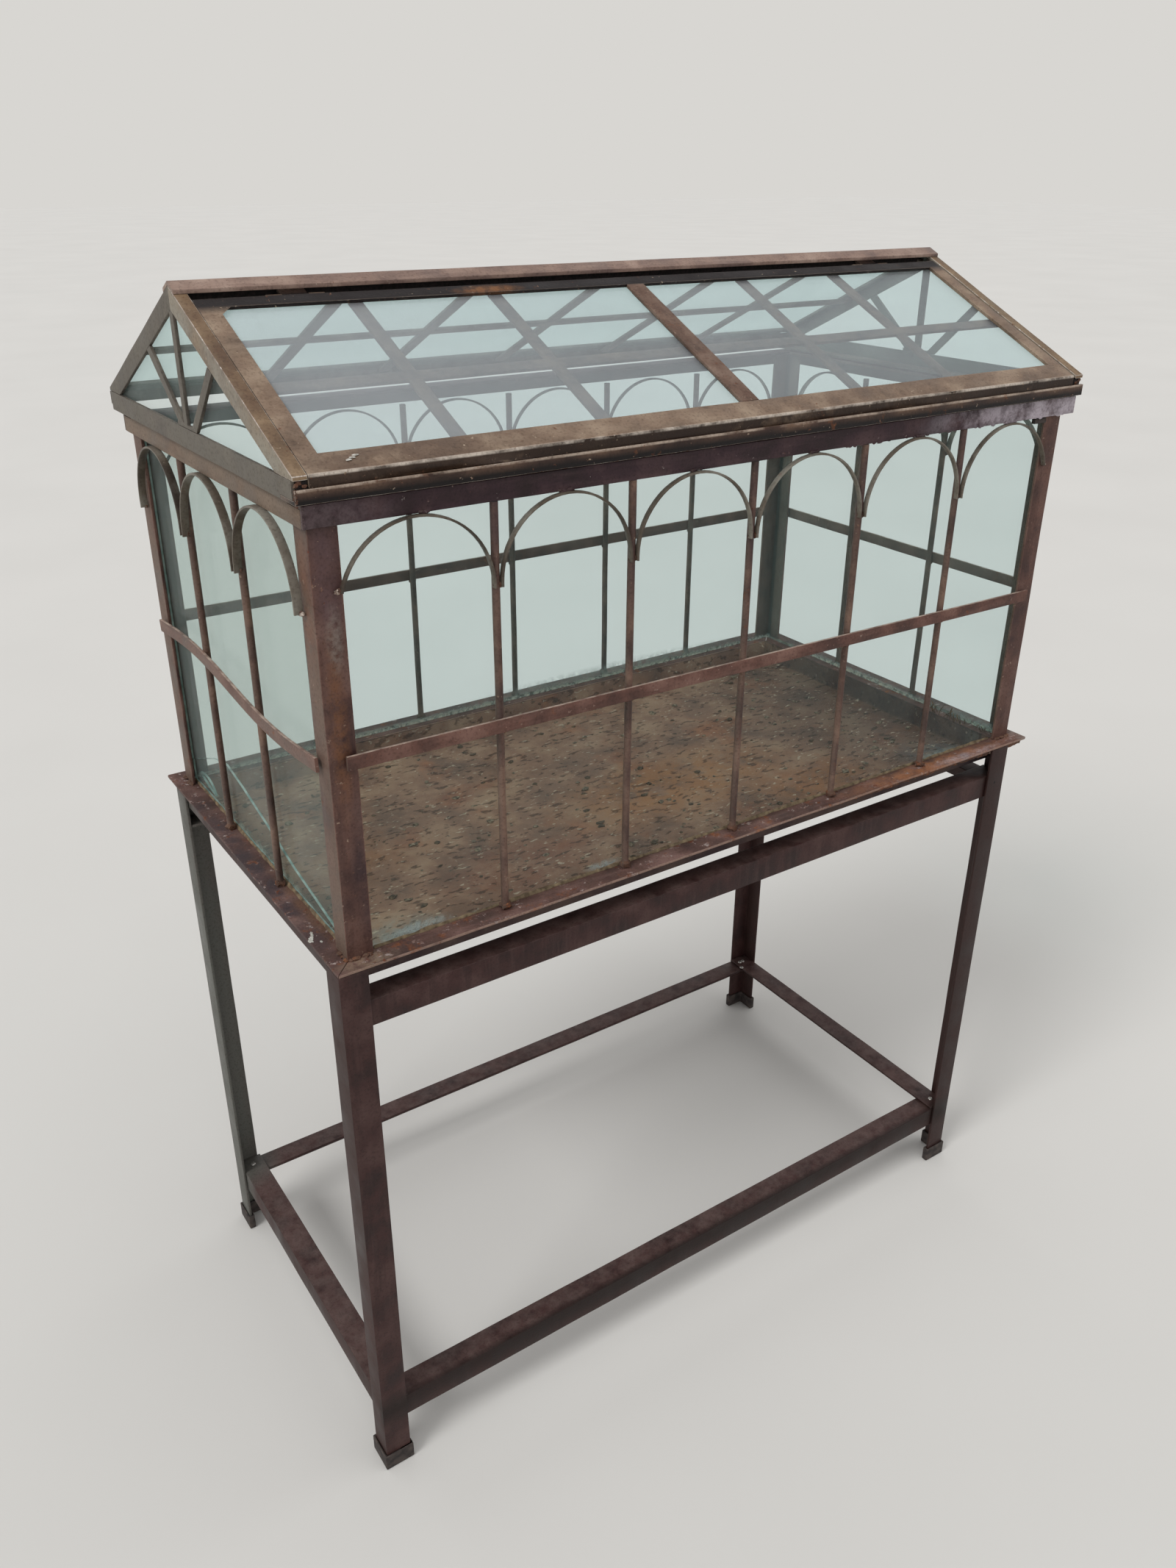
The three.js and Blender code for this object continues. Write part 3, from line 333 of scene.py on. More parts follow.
rubber = plainStuff("mouldedRubber_cap", "#4a403b", "#241d1c", 0.78, 9)         # dusty near-black
putty = plainStuff("linseedPutty_dried", "#857358", "#4a3b2b", 0.85, 7)         # crumbly dull ochre line
drySoil = plainStuff("drySoil_crumbs", "#94816a", "#43352a", 0.95, 3)           # matt brown crumbs
barkCrumb = plainStuff("rottedBark_crumbs", "#65503b", "#3a2a1e", 0.95, 3)      # matt dark brown crumbs
paleChip = plainStuff("undercoat_chips", "#d3d0c8", "#9a958c", 0.7, 4)          # pale chipped marks
screwSteel = plainStuff("zincPlatedSteel_screw", "#c9c6c0", "#7e7a74", 0.4, 2, 0.7)   # small bright heads
# Painted shade: the near-black stuff of holes and of the dark bars that close gaps.
darkHole = plainStuff("shadedSteel_hole", "#2a2120", "#14100f", 0.9, 3)         # nearly black inside
dryStem = plainStuff("driedStem_bark", "#7c5b3b", "#3f2c1c", 0.9, 5)            # brown twigs
glassEdge = plainStuff("cutGlass_edge", "#b3c3bc", "#75908a", 0.15, 12)         # thin grey-green line


# Drawn window glass. It gives the eye a faint green tint, clear gloss, a film of dust that is denser
# towards one end, and green slime or lime where it meets the tray.
def windowGlass(name, look):
    material, tree, place = newMaterial(name)
    coords = place["Object"]
    clear = addNode(tree, "BsdfTransparent", {"Color": look["tint"]})
    share = cloudMask(tree, coords, look["filmMm"], 0.35, 0.4, look["film"])
    specks = cloudMask(tree, coords, look["speckMm"], 0.74, 0.03, look["specks"])
    across = addNode(tree, "SeparateXYZ", {"Vector": coords})
    veil = addNode(tree, "MapRange", {
        "Value": across.outputs["X"], "From Min": -mm(look["veilReach"]), "From Max": mm(look["veilReach"]),
        "To Min": look["veilLeft"], "To Max": look["veilRight"]})
    slant = addNode(tree, "LayerWeight", {"Blend": 0.5})
    sharp = addNode(tree, "Math", {"operation": "POWER", 0: slant.outputs["Facing"], 1: 4.0})
    gloss = addNode(tree, "Math", {"operation": "MULTIPLY", 0: sharp.outputs[0], 1: look["slantGloss"]})
    for more in (veil.outputs[0], specks, gloss.outputs[0]):
        share = addNode(tree, "Math", {"operation": "ADD", 0: share, 1: more, "use_clamp": True}).outputs[0]
    tone = linear(look["dust"])
    for stainTone, *spot in look["stains"]:
        mask = stainMask(tree, coords, *spot)
        share = addNode(tree, "Math", {"operation": "MAXIMUM", 0: share, 1: mask}).outputs[0]
        tone = coatOver(tree, tone, stainTone, mask)
    dusty = addNode(tree, "BsdfPrincipled", {"Base Color": tone, "Roughness": 0.08, "IOR": 1.5})
    both = addNode(tree, "MixShader", {0: share, 1: clear.outputs[0], 2: dusty.outputs[0]})
    addNode(tree, "OutputMaterial", {"Surface": both.outputs[0]})
    return material


# The veil, the film and the specks are shares of dust from 0 to 1, the veil at the two ends.
clearLook = {
    "tint": "#f7ffff", "dust": "#c3cecb", "veilLeft": 0.03, "veilRight": 0.02, "veilReach": 420,
    "film": 0.03, "filmMm": 90, "specks": 0.05, "speckMm": 3, "slantGloss": 0.3, "stains": [],
}
paneLook = clearLook | {
    "tint": "#f8fcfc", "dust": "#bccbc7", "veilLeft": 0.018, "veilRight": 0.018,
    "film": 0.015, "specks": 0.03,
    "stains": [("#d0c6b2", (450, 444, 644), (900, 12, 6), 0.8, 7),
               ("#b3bfae", (600, 444, 650), (280, 8, 14), 0.35, 7),
               ("#8c9a9a", (874, 60, 644), (8, 80, 13), 0.6, 12),
               ("#b9c4ae", (874, 45, 643), (8, 60, 10), 0.8, 6),
               ("#cdc2ab", (874, 250, 644), (8, 220, 7), 0.8, 8),
               ("#a9b4b2", (88, 24.5, 648), (42, 8, 7), 0.6, 6),
               ("#9fb0b4", (292, 24.5, 648), (26, 8, 5), 0.5, 6),
               ("#93a88e", (24.5, 240, 646), (8, 200, 9), 0.5, 12)]}
sashLook = clearLook | {"dust": "#c3c4c8", "veilLeft": 0.26, "veilRight": 0.12, "film": 0.05, "specks": 0.1}
paneGlass = windowGlass("drawnWindowGlass_pane", paneLook)
leftGlass = windowGlass("drawnWindowGlass_leftPane", paneLook | {"tint": "#ecf1ef"})
roofGlass = windowGlass("drawnWindowGlass_roof", clearLook)
sashGlass = windowGlass("drawnWindowGlass_sash", sashLook)

trayLook = {
    "soil": "#8a6551", "soilDeep": "#664c3f", "soilPale": "#a5846b", "soilMm": 62.5,
    "rust": "#7f4b35", "rustPale": "#a26745", "rustGrainMm": 16.667, "rustMm": 70,
    "fleckStretch": (0.6, 1.4, 1.0), "darkFleck": (0.34, 0.29, 0.25, 1.0), "darkFleckMm": 9,
    "paleFleck": "#c4b49c", "paleFleckMm": 6, "paintedWallShadeDeep": "#33262a", "paintedWallShadePale": "#50413d", "pitMm": 9.091,
    "stains": [("#8a5a3a", (110, 210, 620), (70, 60, 50), 0.6, 24),
               ("#7a4632", (250, 110, 620), (120, 70, 50), 0.6, 30),
               ("#a36c42", (500, 170, 620), (190, 90, 50), 0.75, 26),
               ("#9a6238", (640, 90, 620), (120, 50, 50), 0.6, 16),
               ("#6a6650", (330, 45, 620), (300, 26, 40), 0.35, 14),
               ("#8c9a96", (90, 58, 620), (60, 40, 50), 0.5, 14),
               ("#b9bdb4", (72, 46, 620), (36, 18, 50), 0.5, 7),
               # Painted shade: the tray grows dark towards the right.
               ("#33241f", (950, 230, 620), (330, 420, 90), 0.65, 0),
               ("#4c5a60", (815, 60, 620), (60, 50, 60), 0.6, 20),
               ("#b9c3b6", (815, 44, 620), (60, 26, 50), 0.7, 7),
               ("#99a284", (735, 40, 620), (70, 24, 40), 0.6, 6)],
    "rightWallShade": [("#1b1413", (866, 215, 632), (12, 460, 40), 0.85, 0)],
    "floorTop": 619.0, "floorBand": 0.9, "round": 0.8, "slice": 14,
    "heapHeight": 1.8, "heapBase": 0.25, "heapsPerMetre": 18,
}


# Sheet steel under old soil. It gives the eye red brown with rust and lime, with painted shade on the upright
# sides and towards the right.
def soiledSheet(look):
    material, tree, place = newMaterial("sheetSteel_soiledTray")
    coords = place["Object"]
    cloud, soil = mottle(tree, coords, look["soilMm"], 8.0, [
        (0.32, look["soilDeep"]), (0.7, look["soilPale"]), (0.5, look["soil"])], 0.6)
    rust = mottle(tree, coords, look["rustGrainMm"], 5.0, [
        (0.38, look["rust"]), (0.66, look["rustPale"])])[1]
    soil = coatOver(tree, soil, rust, cloudMask(tree, coords, look["rustMm"], 0.55, 0.14, 0.7))
    soil = stained(tree, coords, soil, look["stains"])
    flecks = addNode(tree, "Mapping", {"Vector": coords, "Scale": look["fleckStretch"]}).outputs[0]
    dark = cloudMask(tree, flecks, look["darkFleckMm"], 0.57, 0.03, 0.9)
    soil = coatOver(tree, soil, look["darkFleck"], dark, None, "MULTIPLY")
    pale = cloudMask(tree, flecks, look["paleFleckMm"], 0.62, 0.03, 0.6)
    soil = coatOver(tree, soil, look["paleFleck"], pale)
    # Painted shade: the upright walls take a dark tone, and the right wall a near-black one.
    facing = addNode(tree, "SeparateXYZ", {"Vector": place["Normal"]})
    upright = addNode(tree, "ValToRGB", {"Fac": facing.outputs["Z"]}, [(0.5, 0.95), (0.8, 0.0)])
    wall = addNode(tree, "ValToRGB", {"Fac": cloud}, [(0.42, look["paintedWallShadeDeep"]), (0.62, look["paintedWallShadePale"])])
    soil = coatOver(tree, soil, wall.outputs[0], upright.outputs[0])
    soil = stained(tree, coords, soil, look["rightWallShade"])
    pits = addNode(tree, "TexNoise", {
        "Vector": coords, "Scale": 1000 / look["pitMm"], "Detail": 4.0, "Roughness": 0.6})
    bump = addNode(tree, "Bump", {"Height": pits.outputs["Fac"], "Strength": 0.6, "Distance": mm(1.5)})
    surface = addNode(tree, "BsdfPrincipled", {
        "Base Color": soil, "Roughness": 0.88, "Normal": bump.outputs[0]})
    addNode(tree, "OutputMaterial", {"Surface": surface.outputs[0]})
    return material


print("materials ready")


def finishPiece(name, mesh, materials, body, replaced=()):
    data = bpy.data.meshes.new(name)
    mesh.to_mesh(data)
    mesh.free()
    for material in materials:
        data.materials.append(material)
    data.shade_smooth()
    data.set_sharp_from_angle(angle=creaseAngle)
    piece = bpy.data.objects.new(name, data)
    scene.collection.objects.link(piece)
    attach(piece, body)
    if replaced:
        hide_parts(*replaced)


def keepInside(mesh, low, high):
    for vert in mesh.verts:
        vert.co = Vector([min(max(vert.co[axis], low[axis]), high[axis]) for axis in range(3)])


# A closed skin over rings of points. The sides take their tones in turn, and both ends take endTone.
def skin(mesh, rings, sideTones=(0,), endTone=0):
    count = len(rings[0])
    for first, second in zip(rings, rings[1:]):
        for k in range(count):
            follow = (k + 1) % count
            face = mesh.faces.new((first[k], first[follow], second[follow], second[k]))
            face.material_index = sideTones[k % len(sideTones)]
    for ring in (rings[0][::-1], rings[-1]):
        mesh.faces.new(ring).material_index = endTone


# A closed bar swept along a path; the outline's first axis runs in the across direction.
def sweep(mesh, path, across, outline, tone=0):
    rings = []
    for index, point in enumerate(path):
        along = (path[min(index + 1, len(path) - 1)] - path[max(index - 1, 0)]).normalized()
        side = (across - along * across.dot(along)).normalized()
        over = along.cross(side)
        rings.append([mesh.verts.new(point + side * a + over * b) for a, b in outline])
    skin(mesh, rings, (tone,), tone)


# Outline of a flat strip with rubbed corners, or of a round rod when width, depth and radius agree.
def roundedOutline(width, depth, radius, steps):
    points = []
    for signX, signY, start in ((1, 1, 0), (-1, 1, 90), (-1, -1, 180), (1, -1, 270)):
        for step in range(steps + 1):
            turn = math.radians(start + 90 * step / steps)
            points.append((mm(signX * (width / 2 - radius) + radius * math.cos(turn)),
                           mm(signY * (depth / 2 - radius) + radius * math.sin(turn))))
    return [p for k, p in enumerate(points) if math.dist(p, points[k - 1]) > 1e-7]


# A knobbly bead of weld metal, soil or putty, with its half sizes in mm.
def lump(mesh, centre, size, rough, seed, tone=0, divisions=2):
    made = bmesh.ops.create_icosphere(mesh, subdivisions=divisions, radius=1.0)
    for vert in made["verts"]:
        bulge = 1 + rough * noise.noise(vert.co * 1.7 + Vector((seed, seed * 0.7, 3.1)))
        vert.co = centre + Vector([mm(vert.co[axis] * size[axis] * bulge) for axis in range(3)])
    for face in {face for vert in made["verts"] for face in vert.link_faces}:
        face.material_index = tone


# A low round head, or a dark hole's mouth, lying on a face.
def disc(mesh, centre, normal, radius, height):
    made = bmesh.ops.create_cone(mesh, cap_ends=True, segments=20, radius1=mm(radius),
                                 radius2=mm(radius * 0.7), depth=mm(height))
    turn = normal.to_track_quat("Z", "Y").to_matrix().to_4x4()
    lift = Matrix.Translation(centre + normal * mm(height) / 2)
    bmesh.ops.transform(mesh, matrix=lift @ turn, verts=made["verts"])


# A smooth stray number between about -1 and 1 that belongs to one place.
def stray(*place):
    return noise.noise(Vector(place))


def sliceAcross(mesh, spacing):
    for axis in range(3):
        low = min(vert.co[axis] for vert in mesh.verts)
        high = max(vert.co[axis] for vert in mesh.verts)
        count = int((high - low) / spacing)
        normal = Vector([float(k == axis) for k in range(3)])
        for step in range(1, count):
            bmesh.ops.bisect_plane(mesh, geom=mesh.verts[:] + mesh.edges[:] + mesh.faces[:],
                                   plane_co=normal * (low + (high - low) * step / count), plane_no=normal)


def nodeMesh(node):
    mesh = bmesh.new()
    mesh.from_mesh(nodes[node].data)
    bmesh.ops.remove_doubles(mesh, verts=mesh.verts[:], dist=1e-6)
    bmesh.ops.dissolve_limit(mesh, angle_limit=math.radians(1), verts=mesh.verts[:], edges=mesh.edges[:])
    return mesh


# Old bars are never quite straight and their corners are rubbed round, and pale where a second paint
# is given: rubbed paint that also stands in for painted edge highlights. Each aged bar is the frame's own
# shape with rounded corners and a slow waver of a few tenths of a millimetre. A look holds the rounding,
# the waver and the slices' spacing in mm.
def agedBar(node, materials, body, look):
    mesh = nodeMesh(node)
    sharp = [edge for edge in mesh.edges
             if len(edge.link_faces) == 2 and edge.calc_face_angle(0) > bendAngle]
    bmesh.ops.bevel(mesh, geom=sharp, offset=mm(look["round"]), segments=2, profile=0.6, affect="EDGES",
                    clamp_overlap=True, material=1 if len(materials) > 1 else -1)
    sliceAcross(mesh, mm(look["slice"]))
    for vert in mesh.verts:
        slow = noise.noise_vector(vert.co * 14 + Vector((len(node), 0.3, 1.7)))
        quick = noise.noise_vector(vert.co * 90)
        vert.co += (slow + quick * 0.3) * mm(look["waver"])
    keepInside(mesh, *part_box(node))
    finishPiece(node + "_aged", mesh, materials, body, (node,))


def glaze(node, glass):
    nodes[node].data.materials.clear()
    nodes[node].data.materials.append(glass)


standLook = {"round": 0.8, "waver": 0.35, "slice": 45}
footLook = {"round": 1.6, "waver": 0.2, "slice": 12}
standBars = ["stand_leg_" + corner for corner in corners]
standBars += ["lower_rail_" + side for side in ("left", "right", "front", "back")]
standBars += ["upper_rail_" + side for side in sides]
for bar in standBars:
    agedBar(bar, [painted["stand"]], "case_on_stand", standLook)
for corner in corners:
    agedBar("foot_cap_" + corner, [rubber], "case_on_stand", footLook)

fixings = {
    "screws": [(17, 17), (851, 17), (17, 421), (851, 421), (838, 408), (845, 421)],
    "railTop": 93.0, "headRadius": 3.2, "headHeight": 1.2,
    "holes": [17, 853], "holeHeight": 594, "holeInset": 0.12, "holeRadius": 2.4, "holeDepth": 0.1,
}
mesh = bmesh.new()
for x, y in fixings["screws"]:
    disc(mesh, at(x, y, fixings["railTop"]), upwards, fixings["headRadius"], fixings["headHeight"])
finishPiece("lower_rail_screws", mesh, [screwSteel], "case_on_stand")
# Dark discs of painted shade stand for the holes in the legs' front faces.
mesh = bmesh.new()
for x in fixings["holes"]:
    mouth = at(x, fixings["holeInset"], fixings["holeHeight"])
    disc(mesh, mouth, frontwards, fixings["holeRadius"], fixings["holeDepth"])
finishPiece("leg_dimples", mesh, [darkHole], "case_on_stand")
print("stand ready")

flangeLook = {"round": 0.7, "waver": 0.5, "slice": 14}
for side in sides:
    agedBar("base_flange_" + side, [painted["base"]], "case_on_stand", flangeLook)

# Rusted scale that has come loose and hangs below the front edge, worst towards the right.
scaleLook = {"from": 470.0, "to": 893.0, "step": 2.2, "deepest": 8.5, "thick": 0.7, "under": 640.6,
             "inset": 1.2, "insetWaver": 1.5, "lean": 0.8, "backLean": 0.9}
mesh = bmesh.new()
rings = []
x = scaleLook["from"]
while x < scaleLook["to"]:
    share = (x - scaleLook["from"]) / (scaleLook["to"] - scaleLook["from"])
    ragged = 0.5 + 0.5 * stray(x * 0.06, 2.2, 0.4)
    fine = 0.5 + 0.5 * stray(x * 0.45, 7.2, 0.4)
    depth = scaleLook["deepest"] * (0.25 + 0.75 * share) * (0.2 + 0.6 * ragged + 0.35 * fine)
    face = scaleLook["inset"] + scaleLook["insetWaver"] * ragged
    back = face + scaleLook["thick"]
    rings.append([mesh.verts.new(at(x, y, scaleLook["under"] - drop)) for y, drop in (
        (face, 0), (face + scaleLook["lean"], depth), (back + scaleLook["backLean"], depth), (back, 0))])
    x += scaleLook["step"]
skin(mesh, rings)
bmesh.ops.recalc_face_normals(mesh, faces=mesh.faces[:])
finishPiece("flange_scale", mesh, [painted["weld"]], "case_on_stand")

# Tray with soil heaped in low waves over its floor.
mesh = nodeMesh("tray")
rims = [edge for edge in mesh.edges if edge.calc_face_angle(0) > bendAngle]
bmesh.ops.bevel(mesh, geom=rims, offset=mm(trayLook["round"]), segments=2, affect="EDGES",
                clamp_overlap=True)
sliceAcross(mesh, mm(trayLook["slice"]))
floorTop = at(0, 0, trayLook["floorTop"]).z
waves = trayLook["heapsPerMetre"]
for vert in mesh.verts:
    if abs(vert.co.z - floorTop) < mm(trayLook["floorBand"]):
        heap = noise.fractal(Vector((vert.co.x * waves, vert.co.y * waves, 0.4)), 1.0, 2.0, 4)
        vert.co.z += mm(trayLook["heapHeight"]) * max(0.0, heap + trayLook["heapBase"])
finishPiece("tray_soiled", mesh, [soiledSheet(trayLook)], "case_on_stand", ("tray",))

# Crumbs strewn on the soil, thicker towards the front, two in five of them darker.
crumbLook = {"count": 560, "edge": 30, "across": 824, "deep": 396, "crowding": 1.6,
             "smallest": 0.7, "spread": 3.2, "lift": 0.8}
mesh = bmesh.new()
for index in range(crumbLook["count"]):
    x = crumbLook["edge"] + crumbLook["across"] * chance.random()
    crowding = crumbLook["crowding"] if index % 3 else 1.0
    y = crumbLook["edge"] + crumbLook["deep"] * chance.random() ** crowding
    size = crumbLook["smallest"] + crumbLook["spread"] * chance.random() ** 3
    place = at(x, y, trayLook["floorTop"] + crumbLook["lift"])
    lump(mesh, place, (size * 1.4, size, size * 0.6), 0.8, index * 0.37, int(index % 5 < 2), 1)
finishPiece("tray_crumbs", mesh, [drySoil, barkCrumb], "case_on_stand")
print("base and tray ready")

barLook = {"round": 0.8, "waver": 0.4, "slice": 40}
for corner in corners:
    agedBar("post_" + corner, [painted["case"], painted["strip"]], "case_on_stand", barLook)
for side in ("front", "back", "right"):
    agedBar("top_rail_" + side, [painted["topRail"]], "case_on_stand", barLook)
agedBar("top_rail_left", [painted["wornRail"]], "case_on_stand", barLook)

# Each lattice is made anew in its wall's own flat frame: s runs along the wall and out leaves the case.
# An arch is a narrow flat bar with its width, how far out it stands, and how high a foot at a post ends.
caseLook = {
    "length": 899.0, "depth": 468.6, "inset": 16.0,
    "frontRods": [175, 312, 449, 589, 729], "sideRods": [170, 306],
    "longArch": {"width": 5.0, "out": 4.0, "postFoot": 973.0},
    "sideArch": {"width": 7.6, "out": 4.7, "postFoot": 954.0},
}
latticeLook = {
    "rodRadius": 3.5, "rodSteps": 24, "rodStray": 0.35, "foot": 643.6, "top": 1024.0,
    "stripWidth": 12.7, "stripThick": 3.0, "stripRound": 0.6, "stripBite": 0.5, "stripEnd": 30.0,
    "stripHeight": 828.0, "stripSteps": 40, "stripStray": 0.25,
    "archFoot": 954.0, "archSteps": 28, "archThick": 2.0, "archRound": 0.5, "archStray": 0.3,
    "overPost": 6.5, "archReach": 2.5, "postEdge": 41.0,
}
# Beads of weld: how far along, out and up each sits from its bar, its half sizes, and how knobbly it is.
latticeWelds = {
    "rodFoot": ((0.0, 0.2, 3.0), (5.4, 5.4, 4.2), 0.5),
    "rodSpill": ((2.2, 1.2, 2.0), (3.6, 3.6, 2.6), 0.6),
    "crossing": ((2.2, 1.4, -6.6), (2.6, 2.0, 2.2), 0.6),
    "archPeg": ((2.6, 2.4, 0.6), (2.6, 2.2, 1.9), 0.7),
    "archAtPost": ((0.6, 2.8, 1.0), (2.0, 2.4, 2.2), 0.7),
    "archAtRod": ((0.8, 2.6, 2.0), (2.0, 2.6, 2.8), 0.7),
}
latticePaints = ("lattice", "strip", "weld", "arch", "rubbedEdgeAndHighlight")
nearFace = caseLook["inset"]
backFace = caseLook["depth"] - caseLook["inset"]
rightFace = caseLook["length"] - caseLook["inset"]
longWall = {"rods": caseLook["frontRods"], "span": caseLook["length"], "arch": caseLook["longArch"],
            "tilt": 0.0, "bow": 0.0}
sideWall = {"rods": caseLook["sideRods"], "span": caseLook["depth"], "arch": caseLook["sideArch"],
            "tilt": 0.0, "bow": 0.0}
walls = {
    "lattice_front": longWall | {"tilt": -3.5, "place": lambda s, out, z: at(s, nearFace - out, z)},
    "lattice_back": longWall | {"place": lambda s, out, z: at(s, backFace + out, z)},
    "lattice_left": sideWall | {"bow": -7.0, "place": lambda s, out, z: at(nearFace - out, s, z)},
    "lattice_right": sideWall | {"place": lambda s, out, z: at(rightFace + out, s, z)},
}


def buildLattice(name, wall):
    look = latticeLook
    mesh = bmesh.new()
    put = wall["place"]
    outward = (put(0, 1, 0) - put(0, 0, 0)).normalized()
    radius = look["rodRadius"]
    run = wall["span"] - 2 * look["stripEnd"]

    def weld(kind, x, side, z, seed, paint="weld"):
        (beside, out, up), size, rough = latticeWelds[kind]
        lump(mesh, put(x + side * beside, out, z + up), size, rough, seed, latticePaints.index(paint))

    def stripHeight(share):
        slope = wall["tilt"] * (1 - 2 * share)
        return look["stripHeight"] - slope + wall["bow"] * math.sin(2 * math.pi * share)

    rodOutline = roundedOutline(radius * 2, radius * 2, radius, 5)
    for x in wall["rods"]:
        path = []
        for step in range(look["rodSteps"] + 1):
            z = look["foot"] + (look["top"] - look["foot"]) * step / look["rodSteps"]
            path.append(put(x + look["rodStray"] * stray(x * 0.3, z * 0.02, 1.0), 0, z))
        sweep(mesh, path, outward, rodOutline, latticePaints.index("lattice"))
        weld("rodFoot", x, 1, look["foot"], x)
        weld("rodSpill", x, 1, look["foot"], x + 4)
    out = radius + look["stripThick"] / 2 - look["stripBite"]
    path = []
    for step in range(look["stripSteps"] + 1):
        share = step / look["stripSteps"]
        lift = look["stripStray"] * stray(share * 9, len(name), 0.2)
        path.append(put(look["stripEnd"] + run * share, out, stripHeight(share) + lift))
    stripOutline = roundedOutline(look["stripWidth"], look["stripThick"], look["stripRound"], 2)
    sweep(mesh, path, upwards, stripOutline, latticePaints.index("strip"))
    for x in wall["rods"]:
        for side in (-1, 1):
            weld("crossing", x, side, stripHeight((x - look["stripEnd"]) / run), x + side)
    edges = [look["postEdge"]] + wall["rods"] + [wall["span"] - look["postEdge"]]
    arch = wall["arch"]
    archOutline = roundedOutline(arch["width"], look["archThick"], look["archRound"], 2)
    for index, (start, end) in enumerate(zip(edges, edges[1:])):
        atPost = (index == 0, index == len(wall["rods"]))
        start += -look["overPost"] if atPost[0] else look["archReach"]
        end -= -look["overPost"] if atPost[1] else look["archReach"]
        mid = (start + end) / 2
        reach = (end - start) / 2 - look["archThick"] / 2
        centre = look["top"] - (end - start) / 2
        feet = [arch["postFoot"] if free else look["archFoot"] for free in atPost]
        turns = [math.asin(max(0.0, foot - centre) / reach) for foot in feet]
        path = []
        if feet[0] < centre:
            path.append(put(mid - reach, arch["out"], feet[0]))
        for step in range(look["archSteps"] + 1):
            turn = math.pi - turns[0] - (math.pi - turns[0] - turns[1]) * step / look["archSteps"]
            bent = reach + look["archStray"] * stray(mid + turn * 3, 0.4, 5.0)
            path.append(put(mid + bent * math.cos(turn), arch["out"], centre + reach * math.sin(turn)))
        if feet[1] < centre:
            path.append(put(mid + reach, arch["out"], feet[1]))
        sweep(mesh, path, outward, archOutline, latticePaints.index("arch"))
        for side, free, foot, turn in zip((-1, 1), atPost, feet, turns):
            x = mid + side * reach * math.cos(turn)
            if free:
                weld("archPeg", x, side, foot, foot + x, "rubbedEdgeAndHighlight")
                weld("archAtPost", x, side, foot, x)
            else:
                weld("archAtRod", x, side, foot, foot + x)
    keepInside(mesh, *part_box(name))
    finishPiece(name + "_welded", mesh, [painted[paint] for paint in latticePaints],
                "case_on_stand", (name,))


for name, wall in walls.items():
    buildLattice(name, wall)
print("lattices ready")

for side in ("front", "back", "right"):
    glaze("pane_" + side, paneGlass)

# The left pane is cracked across its lower part. Its pieces are cut along the crack in y and z, and
# the lower one has slipped inwards.
crackLook = {
    "crack": [(26.3, 655.0), (58.0, 651.5), (150.0, 669.5), (215.0, 687.0), (277.0, 702.0), (319.0, 710.0),
              (362.0, 700.0), (442.3, 668.0)],
    "open": 0.5, "slip": 0.6, "faceInset": 0.2, "backInset": 0.8,
}
paneLow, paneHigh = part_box("pane_left")
mesh = bmesh.new()
crack = [(at(0, y, 0).y, mm(z)) for y, z in crackLook["crack"]]
opening = mm(crackLook["open"]) / 2
upper = [(y, z + opening) for y, z in crack] + [(paneHigh.y, paneHigh.z), (paneLow.y, paneHigh.z)]
lower = [(y, z - opening) for y, z in crack] + [(paneHigh.y, paneLow.z), (paneLow.y, paneLow.z)]
for slip, outline in ((0.0, upper), (mm(crackLook["slip"]), lower)):
    planes = (paneLow.x + mm(crackLook["faceInset"]) + slip, paneHigh.x - mm(crackLook["backInset"]) + slip)
    skin(mesh, [[mesh.verts.new((min(x, paneHigh.x), y, z)) for y, z in outline] for x in planes], (1,))
bmesh.ops.recalc_face_normals(mesh, faces=mesh.faces[:])
finishPiece("pane_left_cracked", mesh, [leftGlass, glassEdge], "case_on_stand", ("pane_left",))

# Crumbly putty runs along the foot of each pane, outside the glass: start, end and the way it faces.
puttyLook = {
    "outer": 2.4, "height": 3.4, "step": 5.0, "foot": 643.4, "gap": 0.05, "shoulder": 0.55,
    "runs": [((44, 23), (857, 23), (0, -1)), ((23, 30), (23, 438), (-1, 0)),
             ((876, 30), (876, 438), (1, 0)), ((44, 445.6), (857, 445.6), (0, 1))],
}
mesh = bmesh.new()
for start, end, facing in puttyLook["runs"]:
    count = int(math.dist(start, end) / puttyLook["step"])
    rings = []
    for step in range(count + 1):
        x, y = (a + (b - a) * step / count for a, b in zip(start, end))
        fat = 0.75 + 0.5 * stray(x * 0.11, y * 0.11, 0.7) + 0.3 * stray(x, y, 4)
        height = puttyLook["height"] * fat
        outer = puttyLook["outer"] * fat
        outline = ((puttyLook["gap"], 0), (outer, 0), (outer * 0.7, height * puttyLook["shoulder"]),
                   (puttyLook["gap"], height))
        rings.append([mesh.verts.new(at(x + facing[0] * out, y + facing[1] * out, puttyLook["foot"] + up))
                      for out, up in outline])
    skin(mesh, rings)
bmesh.ops.recalc_face_normals(mesh, faces=mesh.faces[:])
finishPiece("pane_putty", mesh, [putty], "case_on_stand")

